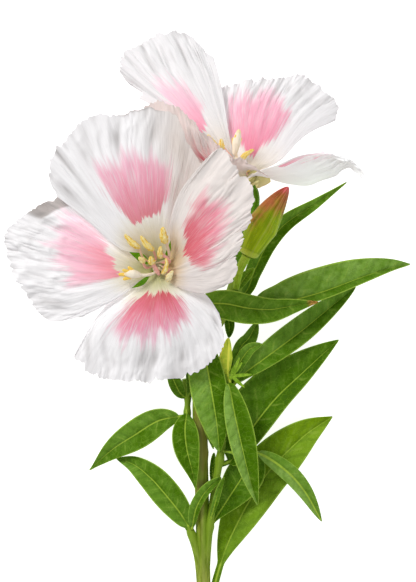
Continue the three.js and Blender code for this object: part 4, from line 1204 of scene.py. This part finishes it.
# %% The measures of the back bloom
BACK = dict(
    tube=dict(route=[(236.5, 282.5, 12), (238, 262, 10.4), (244, 232, 9.8), (254, 207, 11.2),
                     (255, 193, 13), (250.8, 184.5, 14.5), (247, 177, 16.2)], radius=1.4),
    petals=dict(
        left=dict(
            angle=135, bulge=0.8, pleats=5, turn=0.9,
            left=[(220, 152, 14.5), (190, 128, 13), (160, 110, 11.5)],
            rim=[(139, 98, 10), (141, 90, 9.4), (122, 76, 7), (122, 58, 5), (140, 44, 3),
                 (163, 33, 1.3), (184, 32, 1), (200, 45, 2.4), (214, 57, 4.6)],
            right=[(235, 162, 14.6), (228.5, 130, 12.6), (222.5, 90, 8.6)],
            patch=[(161, 81), (158, 91), (164, 103), (178, 116), (203, 135), (204, 128),
                   (202, 105), (196, 96), (185, 84), (176, 83), (168, 86)]),
        right=dict(
            angle=45, bulge=0.8, pleats=5, turn=1.7,
            left=[(234, 158, 12.6), (225.5, 128, 9.4), (221, 102, 7)],
            rim=[(220, 87, 6), (247, 80, 5), (284, 76, 4), (304, 75, 3.4), (323, 88, 3),
                 (338, 104, 3), (336, 120, 4)],
            right=[(262, 170, 15.2), (281, 160, 12), (306, 135, 8.6)],
            patch=[(225, 97), (240, 91), (256, 93), (270, 90), (283, 101), (292, 112),
                   (290, 121), (275, 138), (262, 148), (255, 157), (247, 153), (240, 147),
                   (232, 141), (224, 130)]),
        side=dict(
            angle=-45, bulge=0, pleats=3, turn=0.4, crumple=0.2,
            left=[(260, 175.5, 17.6), (275, 180.5, 13), (290, 184, 9), (308, 185.5, 6.4),
                  (322, 180.5, 6.6), (336, 176, 9), (341.5, 171, 11.2), (349, 168, 13.8),
                  (354, 172, 14.8)],
            rim=[(363.5, 181, 15.4), (362.5, 173, 16.4), (355, 165.5, 18), (345, 160, 19.6),
                 (332, 156, 20.8), (318, 153, 21.6)],
            right=[(259, 171, 18.8), (276, 165.5, 20.4), (296, 157, 21.8)],
            patch=[(280, 166), (292, 160), (305, 156), (318, 154), (326, 153), (318, 158),
                   (306, 161), (294, 164.5), (284, 168)]),
        front=dict(
            angle=-135, bulge=0, pleats=4, turn=2.6,
            left=[(247, 171, 19.4), (254, 170, 20.8), (261, 173, 22)],
            rim=[(267.5, 176.5, 23), (250, 165.5, 25), (227, 154, 26), (207, 138, 26),
                 (192, 121, 25.4), (176, 108, 24.4), (158, 103, 23.4), (144, 107, 22)],
            right=[(222, 180, 18.6), (190, 170, 19.4), (158, 146, 20.4)],
            patch=[(190, 142), (196, 144), (204, 150), (210, 157), (207, 162), (201, 164),
                   (196, 158), (192, 150)])),
    stamens=[dict(angle=120, foot=(223, 150, 18.4), tip=(221.5, 139, 20), wide=0.75),
             dict(angle=160, foot=(217, 146, 17.4), tip=(208, 134.5, 18.6), gold=0.7, wide=0.7),
             dict(angle=60, foot=(239.5, 162, 20), tip=(254, 150, 22), wide=0.7),
             dict(angle=20, foot=(246, 170, 17.6), tip=(251, 167, 18.2)),
             dict(angle=95, foot=(236, 164, 17), tip=(232, 158, 18)),
             dict(angle=200, foot=(229, 163, 17.6), tip=(224, 159, 18.4)),
             dict(angle=300, foot=(244, 171, 18), tip=(247, 168, 18.8)),
             dict(angle=250, foot=(238, 170, 18.4), tip=(238, 165, 19.6))],
    style=dict(route=[(243, 170, 17.6), (238, 162, 18.6), (235, 152, 19.4)],
               club=[(234.5, 155, 19.6), (236.5, 143, 21), (239, 130, 22.4)],
               lobes=[(239, 133, 21), (236, 135, 22.4), (241, 138, 19.8), (233, 138, 20)]),
    sepal_half=2.7,
    sepals=[dict(angle=-60, rib=[(253, 180, 17.6), (261, 179, 16.4), (270.5, 181.5, 14.9)]),
            dict(angle=190, rib=[(231, 180, 15.4), (225, 184, 14.8), (219, 189, 14.2)])])

print("places along the pink patches:",
      sum(len(petal["patch"]) for bloom in (FRONT, BACK) for petal in bloom["petals"].values()))


# %% The mouth of a bloom's tube
MOUTH_RADIUS = 2.4  # millimetres
LIP = 1.1  # millimetres that the tube's mouth turns out under the petals


class Mouth:
    """Where a bloom's petals stand."""

    def __init__(self, bloom):
        self.route = Route(all_at(bloom["tube"]["route"]))
        self.centre = self.route.place(1.0)
        self.axis = self.route.heading(1.0)
        self.across = unit(np.array([1.0, 0, 0]) - self.axis * self.axis[0])
        self.up = np.cross(self.axis, self.across)

    def place(self, degrees, radius, height):
        angle = math.radians(degrees)
        return (self.centre + self.across * radius * math.cos(angle)
                + self.up * radius * math.sin(angle) + self.axis * height)


for name, bloom in (("front", FRONT), ("back", BACK)):
    print(name, "bloom's mouth in mm:", np.round(Mouth(bloom).centre, 1))

# %% [markdown]
# ## Petals
#
# A petal is a fan: narrow at its claw, wide and toothed at its rim. Its middle surface is drawn
# between its two edges and its rim. Then come the layers that make silk of it: broad pleats,
# fine fan pleats, the sharp dents of tissue that was packed in a bud, and a rim that wavers and
# is finely torn. The tissue thins towards the rim. A cloth simulation would fold too, but it
# can't be told where, and living tissue grew into its folds.

# %% A petal's surface without its folds
CLAW_RADIUS, CLAW_HALF_WIDTH, CLAW_HEIGHT = 2.0, 1.4, 0.7
SWELL_END, SWELL_TURN = 0.91, 0.74  # shares of the way out: the swell's end, and its turn
CLAW_HALF_ANGLE = math.degrees(math.asin(CLAW_HALF_WIDTH / CLAW_RADIUS))


def blend(a, b, share):
    return a + (b - a) * share[..., None]


def petal_smooth(petal, mouth, u, v):
    """The petal without pleats: its edges, its rim and its bulge."""
    left_foot = mouth.place(petal["angle"] + CLAW_HALF_ANGLE, CLAW_RADIUS, CLAW_HEIGHT)
    right_foot = mouth.place(petal["angle"] - CLAW_HALF_ANGLE, CLAW_RADIUS, CLAW_HEIGHT)
    rim_points = all_at(petal["rim"])
    left = Route([left_foot, *all_at(petal["left"]), rim_points[0]])
    right = Route([right_foot, *all_at(petal["right"]), rim_points[-1]])
    rim = Route(rim_points)
    sides = blend(left.place(u), right.place(u), v)
    straight = blend(rim_points[0] * np.ones(v.shape + (3,)), rim_points[-1], v)
    place = sides + u[..., None] * (rim.place(v) - straight)
    swell = np.sin(np.pi * np.minimum(1, u / SWELL_END))
    late = np.clip((u - SWELL_TURN) / (1 - SWELL_TURN), 0, 1)
    start = math.sin(math.pi * SWELL_TURN / SWELL_END)
    swell = np.where(u > SWELL_TURN, start * (1 - late) ** 2 * (1 + late * 0.4), swell)
    place[..., 2] += petal["bulge"] * np.sin(np.pi * v) * swell
    return place


# %% A petal's folds and its rim
PLEAT, FAN, LONG_FOLD, SHORT_FOLD = 0.38, 0.32, 0.4, 0.36  # heights in millimetres
DENT, FACET = 1.4, 1.8  # millimetres, for a petal whose crumple is 1
SCALLOP, SMALL_SCALLOP, CUT, TOOTH = 0.5, 0.45, 3.6, 0.85  # millimetres along the petal
NEVER = (2, 3)  # shares of the width past the petal's edge


def petal_pleats(petal, u, v, seed):
    """Heights over the smooth petal in millimetres, and where shade is painted in the folds."""
    turn, pleats, crumple = petal["turn"], petal["pleats"], petal.get("crumple", 0.12)
    inside = np.sqrt(np.clip(np.sin(np.pi * v), 0, 1))
    wide = np.sin(2 * np.pi * pleats * v + turn)
    narrow = np.sin(2 * np.pi * 1.7 * pleats * v + 2.3 * turn)
    height = PLEAT * (wide + 0.5 * narrow) * u**1.5 * inside
    outer, last = ease(u, 0.35, 0.85), ease(u, 0.6, 0.95)
    drift = unrest(u * 3, v * 4, seed) * 0.05
    fan = np.abs(np.sin(np.pi * (pleats * 2.4) * (v + drift) + turn)) - 0.6
    some = np.clip(0.45 + 0.8 * unrest(u * 2, v * 7, seed + 1), 0, 0.75)
    calm = 1 - 0.75 * ease(v, *petal.get("calm", NEVER))
    height += FAN * fan * outer * inside * some * calm
    long_folds = crease(u * 2.4, (v + drift) * 17, seed + 8)
    short_folds = crease(u * 6, (v + drift) * 40, seed + 9)
    height += (LONG_FOLD * long_folds * outer + SHORT_FOLD * short_folds * last) * inside * calm
    dents = crease(u * 5 + 2 * v, v * 9, seed + 3) * crease(u * 6, v * 12 - 5 * u, seed + 4)
    facets = crease(u * 9 - 3 * v, v * 15, seed + 6) * crease(u * 7 + 4 * v, v * 19, seed + 7)
    height += crumple * (DENT * dents + FACET * facets) * outer * inside
    fold = (np.clip(-fan * 1.2, 0, 1) * outer * some * 0.6
            + np.clip(-long_folds, 0, 1) * outer + np.clip(-short_folds, 0, 1) * last * 0.8)
    return height, fold * calm


def petal_rim(u, v, seed):
    """How far the rim stands out: slow scallops, a few cuts and fine torn teeth."""
    scallop = SCALLOP * unrest(v * 11, 0.3, seed) + SMALL_SCALLOP * unrest(v * 26, 0.7, seed + 1)
    cuts = -CUT * np.clip(crease(v * 16, 0.4, seed + 3) - 0.72, 0, 1)
    teeth = TOOTH * (np.abs(unrest(v * 58, 0.2, seed + 2)) - 0.3)
    inside = np.clip(np.sin(np.pi * v) * 6, 0, 1)
    return (scallop * ease(u, 0.7, 1.0) + cuts * ease(u, 0.86, 1.0)
            + teeth * ease(u, 0.95, 1.0)) * inside


# %% What a petal's finish reads
def in_outline(outline, u, v):
    """True where (u, v) lies inside a closed outline."""
    inside = np.zeros(u.shape, bool)
    ends = np.roll(outline, -1, axis=0)
    for (a, b), (c, d) in zip(outline, ends):
        crosses = (b > v) != (d > v)
        inside ^= crosses & (u < (c - a) * (v - b) / (d - b + 1e-12) + a)
    return inside


def patch_marks(petal, surface, u):
    """How deep each point lies inside the pink patch, in mm, and how far out along it."""
    ring = np.array([at((*p, 0))[:2] for p in petal["patch"]])
    flat = surface[..., :2]
    nearest = np.full(u.shape, 1e9)
    for a, b in zip(ring, np.roll(ring, -1, axis=0)):
        way = b - a
        share = np.clip(((flat - a) @ way) / (way @ way), 0, 1)
        nearest = np.minimum(nearest, np.linalg.norm(flat - a - share[..., None] * way, axis=-1))
    inside = in_outline(ring, flat[..., 0], flat[..., 1])
    depth = np.where(inside, nearest, -nearest)
    low, high = u[inside].min(), u[inside].max()
    return {"patch": depth, "climb": np.clip((u - low) / (high - low), 0, 1)}


def shade_marks(petal, u, v):
    """Where the shade of a turned-over rim is painted, and where a hollow is painted in shade."""
    turned, shade = np.zeros_like(u), np.zeros_like(u)
    for low, high, width in petal.get("turned", []):
        here = ease(v, low - 0.02, low + 0.02) * (1 - ease(v, high - 0.02, high + 0.02))
        turned = np.maximum(turned, here * ease(u, 1 - width, 1 - width + 0.03))
    for across_from, across_to, out_from, out_to, dark in petal.get("shade", []):
        here = ease(v, across_from, across_to) * ease(u, out_from, out_to)
        shade = np.maximum(shade, here * dark)
    return {"turned": turned, "shade": shade}


# %% One petal
ROW_CROWDING = 1.25  # above 1 the rows crowd towards the rim, where the folds are finest
LOWEST = 0.25  # millimetres from the table to a petal's middle surface
EDGE_THICK, MORE_INSIDE = 0.16, 0.26  # millimetres


def make_petal(bloom_name, name, petal, mouth, seed, size):
    along, across = size
    rows = 1 - (1 - np.linspace(0, 1, along + 1)) ** ROW_CROWDING
    u, v = np.meshgrid(rows, np.linspace(0, 1, across + 1), indexing="ij")
    smooth = petal_smooth(petal, mouth, u, v)
    outward, sideways = np.gradient(smooth, axis=0), np.gradient(smooth, axis=1)
    normal, outward = unit(np.cross(sideways, outward)), unit(outward)
    height, fold = petal_pleats(petal, u, v, seed)
    rim = petal_rim(u, v, seed + 20)
    place = smooth + normal * height[..., None] + outward * rim[..., None]
    place[..., 2] = np.maximum(place[..., 2], LOWEST)
    edge = np.minimum(np.minimum(v, 1 - v) * 8, (1 - u) * 10)
    thick = EDGE_THICK + MORE_INSIDE * np.clip(edge, 0, 1) * (1 - 0.4 * u)
    points, faces = sheet_mesh(place, thick)
    values = {**patch_marks(petal, smooth, u), "fold": fold, **shade_marks(petal, u, v)}
    marks = {mark: both_sides(value) for mark, value in values.items()}
    node, finish = f"{bloom_name}_petal_{name}", PETAL_FINISHES[f"{bloom_name}_{name}"]
    mesh = new_mesh(f"{node}_mesh", points, faces, finish, sheet_uv(u, v), marks)
    stand_for(node, mesh)


# %% [markdown]
# ## The ovary and its tube
#
# The ovary is the slim green body under the bloom, faintly ribbed, which turns into the seed pod.
# It widens at its top into the tube's mouth. It is a rod whose radius follows a rule, with down.
# Turned from one outline it would be straight, but the real one bends with its stalk.

# %% Ovary and tube
OVARY_FINISHES = {"front": OVARY_GREEN, "back": OVARY_OLIVE}
NECK = 0.87  # the share of the route where the ovary ends and the tube widens


def make_ovary(bloom_name, bloom, mouth, seed):
    radius, finish = bloom["tube"]["radius"], OVARY_FINISHES[bloom_name]

    def reach(u, angle):
        swell = radius * (0.78 + 0.3 * np.sin(np.pi * np.minimum(1, u / NECK)))
        flare, lip = ease(u, NECK, 0.97), ease(u, 0.975, 1.0)
        ribs = 1 + 0.035 * np.cos(8 * angle) * (1 - flare)
        return (swell + (MOUTH_RADIUS - swell) * flare + LIP * lip) * ribs

    sides, steps = 40, 60
    points, faces = rod_mesh(mouth.route, reach, sides, steps)
    mesh = new_mesh(f"{bloom_name}_ovary_mesh", points, faces, finish, rod_uv(sides, steps))
    stand_for(f"{bloom_name}_ovary", downy(mesh, finish, 0.25, 2.0, seed))


# %% [markdown]
# ## Stamens
#
# Eight stamens stand in a ring: a short coral filament each, and a long golden anther that splits
# along two grooves, crinkles and curls. Pollen clings to it in grains, which a tree scatters over
# its skin. Noise in the finish alone would leave the anther's outline too smooth.

# %% A spindle and its crinkles
def spindle_reach(radius, foot, widest, rise, taper, tip=0.12, grooves=0.0, turns=2):
    """A grooved spindle: radius, foot and tip in mm; widest is a share of its length."""
    def reach(u, angle):
        least = foot + (tip - foot) * u
        fullness = (np.minimum(1, u / widest) ** rise
                    * np.minimum(1, (1 - u) / (1 - widest)) ** taper)
        return (least + (radius - least) * fullness) * (1 + grooves * np.cos(turns * angle))
    return reach


def crinkled(reach, depth=0.09):
    """The same reach with small swellings that wind round it."""
    def rough(u, angle):
        swellings = np.cos(3 * angle + 17 * u) + 0.8 * np.cos(4 * angle - 29 * u)
        return reach(u, angle) * (1 + depth * swellings * ease(u, 0.02, 0.2))
    return rough


# %% The pollen's tree
GRAIN_RADIUS, GRAINS = 0.085, 5e6  # millimetres, and grains to a square metre


def make_pollen_recipe():
    r = Recipe("pollen", Grain="Float", Per_square_metre="Float", Seed="Int", Skin="Material")
    grain = r.node("GeometryNodeMeshIcoSphere", values={0: r.given("Grain"), 1: 1})
    grains = r.copies(r.scatter(), grain, 0.6, 1.2)
    marked = r.node("GeometryNodeStoreNamedAttribute", {"data_type": "FLOAT", "domain": "POINT"},
                    {0: grains, "Name": "pollen", 3: 1.0})
    both = r.together(r.given("Geometry"), marked)
    whole = r.node("GeometryNodeRealizeInstances", values={0: both})
    return r.finish(r.covered(whole, "Skin"))


POLLEN = make_pollen_recipe()


# %% A ring at the stamens' feet, and several meshes as one
RING_INNER, RING_OUTER, RING_HEIGHT = 0.7, 1.2, 0.7  # millimetres


def ring_mesh(mouth, inner, outer, bottom, top, sides=36):
    """A flat ring round the mouth's axis."""
    profile = [(inner, bottom), (outer, bottom), (outer, top), (inner, top)]
    points = [mouth.place(360 * k / sides, r, h) for k in range(sides) for r, h in profile]
    faces = []
    for k in range(sides):
        here, ahead = k * 4, (k + 1) % sides * 4
        for j in range(4):
            other = (j + 1) % 4
            faces.append([here + j, ahead + j, ahead + other, here + other])
    return np.array(points), faces


def merged(name, meshes):
    """Several meshes with the same marks as one."""
    objects = [placed("part", mesh) for mesh in meshes]
    with bpy.context.temp_override(active_object=objects[0], object=objects[0],
                                   selected_objects=objects,
                                   selected_editable_objects=objects):
        bpy.ops.object.join()
    mesh = objects[0].data
    mesh.name = name
    bpy.data.objects.remove(objects[0])
    return mesh


# %% The stamens of one bloom
FILAMENT_GRID, ANTHER_GRID = (12, 24), (20, 32)  # sides and steps
THINNEST = 0.26  # millimetres: a filament's radius at its foot
ANTHER = dict(foot=0.25, widest=0.36, rise=0.4, taper=0.5, grooves=0.2)


def filament_radius(stalk):
    """A filament that thickens from its foot to the radius at its anther."""
    return lambda u, angle: THINNEST + (0.85 * stalk - THINNEST) * ease(u, 0.3, 0.6)


def anther_route(foot, tip, curl):
    span = tip - foot
    aside = np.array([-span[1], span[0], 0]) * 0.16 * curl
    return Route([foot, foot + span * 0.35 + aside + [0, 0, 0.45],
                  foot + span * 0.75 + aside * 0.8 + [0, 0, 0.35], tip])


def make_stamens(bloom_name, bloom, mouth, seed):
    top = SEAT_GAP + RING_HEIGHT
    middle = (RING_INNER + RING_OUTER) / 2
    stalks = [ring_mesh(mouth, RING_INNER, RING_OUTER, SEAT_GAP, top)]
    uv, rosy = [plain_uv(stalks[0])], [np.zeros(len(stalks[0][0]))]
    anthers, golden = [], []
    stalk_uv, anther_uv = rod_uv(*FILAMENT_GRID), rod_uv(*ANTHER_GRID)
    for stamen in bloom["stamens"]:
        foot, tip = at(stamen["foot"]), at(stamen["tip"])
        held = at(stamen["held"]) if "held" in stamen else foot + (tip - foot) * 0.3
        way = [mouth.place(stamen["angle"], middle, top - 0.4),
               mouth.place(stamen["angle"], middle * 1.2, top + 1.2)]
        way += [at(stamen["bend"])] if "bend" in stamen else []
        stalks.append(rod_mesh(Route([*way, held]), filament_radius(stamen.get("stalk", 0.4)),
                               *FILAMENT_GRID))
        uv.append(stalk_uv)
        rosy.append(ease(stalk_uv[:, 0], 0.15, 0.45) * stamen.get("rosy", 1.0))
        reach = crinkled(spindle_reach(stamen.get("wide", 0.85), **ANTHER))
        anthers.append(rod_mesh(anther_route(foot, tip, stamen.get("curl", 0.5)), reach,
                                *ANTHER_GRID))
        golden.append(np.full(len(anther_uv), stamen.get("gold", 1.0)))
    points, faces = joined(stalks)
    coral = new_mesh("stalks", points, faces, STAMEN, np.vstack(uv),
                     {"pollen": np.zeros(len(points)), "rosy": np.concatenate(rosy)})
    points, faces = joined(anthers)
    gold = new_mesh("anthers", points, faces, STAMEN, np.vstack([anther_uv] * len(anthers)),
                    {"pollen": np.concatenate(golden), "rosy": np.zeros(len(points))})
    gold = POLLEN.run(gold, Grain=GRAIN_RADIUS * METRES, Per_square_metre=GRAINS, Seed=seed,
                      Skin=STAMEN.material)
    node = f"{bloom_name}_stamens"
    stand_for(node, merged(f"{node}_mesh", [coral, gold]))


# %% [markdown]
# ## Style and sepals
#
# The style is a cream thread that ends in four blunt lobes with yellow tips. The sepals were the
# bud's cover; they have turned back behind the petals, and a thin collar joins them to the tube.
# The lobes are the anthers' spindle at another size, and the sepals are the leaves' sheet, so
# nothing new is needed for either.

# %% Style
THREAD_GRID, LOBE_GRID = (16, 60), (16, 24)  # sides and steps


def make_style(bloom_name, bloom, mouth):
    start = mouth.place(0, 0, SEAT_GAP)
    lifted = mouth.place(0, 0, SEAT_GAP + 1.3)
    route = [start, lifted, *all_at(bloom["style"]["route"])]
    club = Route(all_at(bloom["style"]["club"]))
    parts = [rod_mesh(Route(route), lambda u, a: 0.36 + 0.12 * u, *THREAD_GRID),
             rod_mesh(club, spindle_reach(1.3, 0.42, 0.5, 0.55, 0.5, tip=0.25), *LOBE_GRID)]
    way = rod_uv(*LOBE_GRID)[:, 0]
    tips = [np.zeros(len(parts[0][0])), ease(way, 0.8, 1.0) * 0.5]
    fork, before = route[-1], route[-2]
    for end in all_at(bloom["style"]["lobes"]):
        foot = before + (fork - before) * 0.8
        bend = fork + (end - fork) * 0.4
        reach = spindle_reach(0.62, 0.25, 0.6, 0.4, 0.35, tip=0.22)
        parts.append(rod_mesh(Route([foot, bend, end]), reach, *LOBE_GRID))
        tips.append(ease(way, 0.35, 0.7))
    points, faces = joined(parts)
    mesh = new_mesh(f"{bloom_name}_style_mesh", points, faces, STYLE,
                    marks={"tip": np.concatenate(tips)})
    stand_for(f"{bloom_name}_style", mesh)


# %% Sepals
COLLAR_WIDTH, COLLAR_BOTTOM, COLLAR_TOP = 0.6, -1.5, -0.7  # millimetres from the mouth
SEPAL_FINISHES = {"front": SEPAL_GREEN, "back": SEPAL_OLIVE}


def make_sepals(bloom_name, bloom, mouth, seed):
    inner = MOUTH_RADIUS + SEAT_GAP
    outer = inner + COLLAR_WIDTH
    finish = SEPAL_FINISHES[bloom_name]
    parts = [ring_mesh(mouth, inner, outer, COLLAR_BOTTOM, COLLAR_TOP)]
    uv = [plain_uv(parts[0])]
    leaf = dict(half=bloom["sepal_half"], widest=0.36, full=1.5, lift=-0.3, wave=0.0, foot=1.5,
                petiole=0.02)
    for number, sepal in enumerate(bloom["sepals"]):
        foot = mouth.place(sepal["angle"], (inner + outer) / 2, (COLLAR_BOTTOM + COLLAR_TOP) / 2)
        grid, u, v, side, *_ = leaf_grid(leaf, [foot, *all_at(sepal["rib"])], *SMALL_GRID,
                                         seed + number, deeper=0.4)
        parts.append(sheet_mesh(grid, 0.45 - 0.2 * np.abs(side)))
        uv.append(sheet_uv(u, v))
    points, faces = joined(parts)
    mesh = new_mesh(f"{bloom_name}_sepals_mesh", points, faces, finish, np.vstack(uv))
    stand_for(f"{bloom_name}_sepals", downy(mesh, finish, 0.2, 0.8, seed))


# %% Put both blooms together
BLOOMS = {"front": (FRONT, (86, 240)), "back": (BACK, (66, 190))}  # and their petals' grids

for number, (bloom_name, (bloom, size)) in enumerate(BLOOMS.items()):
    mouth = Mouth(bloom)
    seed = 1000 * (number + 1)
    make_ovary(bloom_name, bloom, mouth, seed)
    for place, (name, petal) in enumerate(bloom["petals"].items()):
        make_petal(bloom_name, name, petal, mouth, seed + 100 * (place + 1), size)
    make_stamens(bloom_name, bloom, mouth, seed + 7)
    make_style(bloom_name, bloom, mouth)
    make_sepals(bloom_name, bloom, mouth, seed + 9)

# %% [markdown]
# ## The buds
#
# The larger bud is still wrapped in its four sepals, which meet in low seams from its foot to its
# pointed tip; its foot is turned in where it sits on its ovary. The small bud is younger, green
# and striped, and stands on a thin stalk. Both are spindles with the sepals' ridges, because a
# rule for the radius bends with the route, which a turned shape would not.

# %% The buds' routes, and the shapes of their feet
BUD_OVARY = dict(route=[(236, 289, 15.8), (239, 272, 16.9), (246.4, 256, 17.9)],
                 radii=(0.95, 1.35))
BUD_ROUTE = [(246.7, 255.7, 17.9), (258, 234, 18.4), (269.5, 214, 18.8), (279, 199.5, 19),
             (288.3, 187, 19)]
SMALL_BUD_ROUTE = [(229, 383, 15.2), (227, 375, 15.8), (225.8, 358, 17), (228.4, 338, 17.4)]
SMALL_BUD_STALK, SMALL_BUD_STARTS = 0.75, 0.26  # its radius in mm, and the share that it takes


def rounded(reach, share=0.05, least=0.45):
    """The same reach with its foot turned in, as on a bud that sits on its ovary."""
    def turned_in(u, angle):
        near = np.clip(1 - u / share, 0, 1)
        return reach(u, angle) * (least + (1 - least) * np.sqrt(1 - near**2))
    return turned_in


def on_stalk(reach, stalk, start):
    """A thin stalk up to the share `start` of the route, and the given reach above it."""
    def whole(u, angle):
        above = np.clip((u - start) / (1 - start), 0, 1)
        return np.where(u < start, stalk, reach(above, angle))
    return whole


def ovary_radius(u, angle):
    foot, tip = BUD_OVARY["radii"]
    return (foot + (tip - foot) * u) * (1 + 0.04 * np.cos(8 * angle))


# %% Both buds and the ovary under the larger one
def margin_of(points, route, samples=120):
    """From -1 on the right margin to 1 on the left one, as seen from above."""
    line = route.place(np.linspace(0, 1, samples))
    nearest = np.argmin(np.linalg.norm(points[:, None] - line[None], axis=2), axis=1)
    way = route.heading(nearest / (samples - 1))
    left = unit(np.stack([-way[:, 1], way[:, 0], np.zeros(len(points))], 1))
    off = np.sum((points - line[nearest]) * left, axis=1)
    return np.clip(off / np.abs(off).max(), -1, 1)


def make_spindle(node, places, reach, finish, grid, down, seed):
    """A downy rod; grid holds its sides and steps, down the hairs' length and number."""
    route = Route(all_at(places))
    points, faces = rod_mesh(route, reach, *grid)
    mesh = new_mesh(f"{node}_mesh", points, faces, finish, rod_uv(*grid),
                    {"side": margin_of(points, route)})
    stand_for(node, downy(mesh, finish, *down, seed))


make_spindle("bud_ovary", BUD_OVARY["route"], ovary_radius,
             STALK_GREEN, (40, 36), (0.25, 2.0), 51)
make_spindle("bud", BUD_ROUTE,
             rounded(spindle_reach(4.6, 2.6, 0.4, 0.65, 0.66, grooves=0.035, turns=4)),
             BUD_FLUSH, (72, 90), (0.22, 1.2), 52)
make_spindle("small_bud", SMALL_BUD_ROUTE,
             on_stalk(spindle_reach(1.9, 0.75, 0.42, 0.5, 0.7, 0.25, grooves=0.06, turns=4),
                      SMALL_BUD_STALK, SMALL_BUD_STARTS),
             YOUNG_BUD, (40, 40), (0.2, 1.5), 53)

# %% [markdown]
# ## The table, the light and the camera
#
# The floor is plain and pale, and shines a little by itself, so that it stays white under the
# plant's soft shadow. A bright even sky, one large soft lamp from the upper left and a weaker one
# from the lower right give the petals their soft grey folds. A sun would be simpler, but its hard
# shadows would hide the leaves. The camera is far away with a long lens and looks straight down,
# because the blooms of the lying stem face up.

# %% Floor
FLOOR_HALF = 3.0  # metres
FLOOR_GLOW, SKY_GLOW = 0.82, 0.46
WHITE = (1, 1, 1, 1)


def floor_finish():
    f = Finish("pale table", specular=0.1)
    grainy = f.body(90, 4)
    f.show(f.mix(grainy, "#E0E0E0", "#E4E4E4"), 0.85 + grainy * 0.1)
    f.shader.inputs["Emission Color"].default_value = WHITE
    f.shader.inputs["Emission Strength"].default_value = FLOOR_GLOW
    return f


floor_mesh = bpy.data.meshes.new("floor")
corners = [(x * FLOOR_HALF, y * FLOOR_HALF, 0) for x, y in ((-1, -1), (1, -1), (1, 1), (-1, 1))]
floor_mesh.from_pydata(corners, [], [(0, 1, 2, 3)])
floor_mesh.materials.append(floor_finish().material)
floor = placed("floor", floor_mesh)
print("floor:", 2 * FLOOR_HALF, "m wide")

# %% Light
world = bpy.data.worlds.new("studio")
world.use_nodes = True
world.node_tree.nodes["Background"].inputs["Color"].default_value = WHITE
world.node_tree.nodes["Background"].inputs["Strength"].default_value = SKY_GLOW
bpy.context.scene.world = world


def add_lamp(name, place, size, power):
    """A round lamp that faces the blooms; metres and watts."""
    lamp = bpy.data.lights.new(name, "AREA")
    lamp.shape, lamp.size, lamp.energy = "DISK", size, power
    holder = placed(name, lamp)
    holder.location = place
    aim = Vector((0, 0.02, 0.02)) - Vector(place)
    holder.rotation_euler = aim.to_track_quat("-Z", "Y").to_euler()
    print(name, "lamp:", power, "watts")


add_lamp("window", (-0.8, 0.9, 1.3), 0.6, 18.0)
add_lamp("fill", (0.9, -0.5, 1.4), 1.6, 4.8)

# %% Camera
LENS, SENSOR = 600.0, 36.0  # millimetres
PHOTO_HEIGHT = 582  # pixels
VIEW_HEIGHT = PHOTO_HEIGHT * PIXEL * METRES  # what the photograph spans, at the blooms' height
VIEW_MIDDLE = at((208, 291, 15)) * METRES

camera_data = bpy.data.cameras.new("camera")
camera_data.lens, camera_data.sensor_width = LENS, SENSOR
camera_data.clip_start, camera_data.clip_end = 0.1, 20.0
camera = placed("camera", camera_data)
camera.location = (VIEW_MIDDLE[0], VIEW_MIDDLE[1], VIEW_MIDDLE[2] + VIEW_HEIGHT * LENS / SENSOR)
bpy.context.scene.camera = camera
bpy.context.scene.view_settings.view_transform = "Standard"
print("camera over the table in m:", round(camera.location[2], 2))
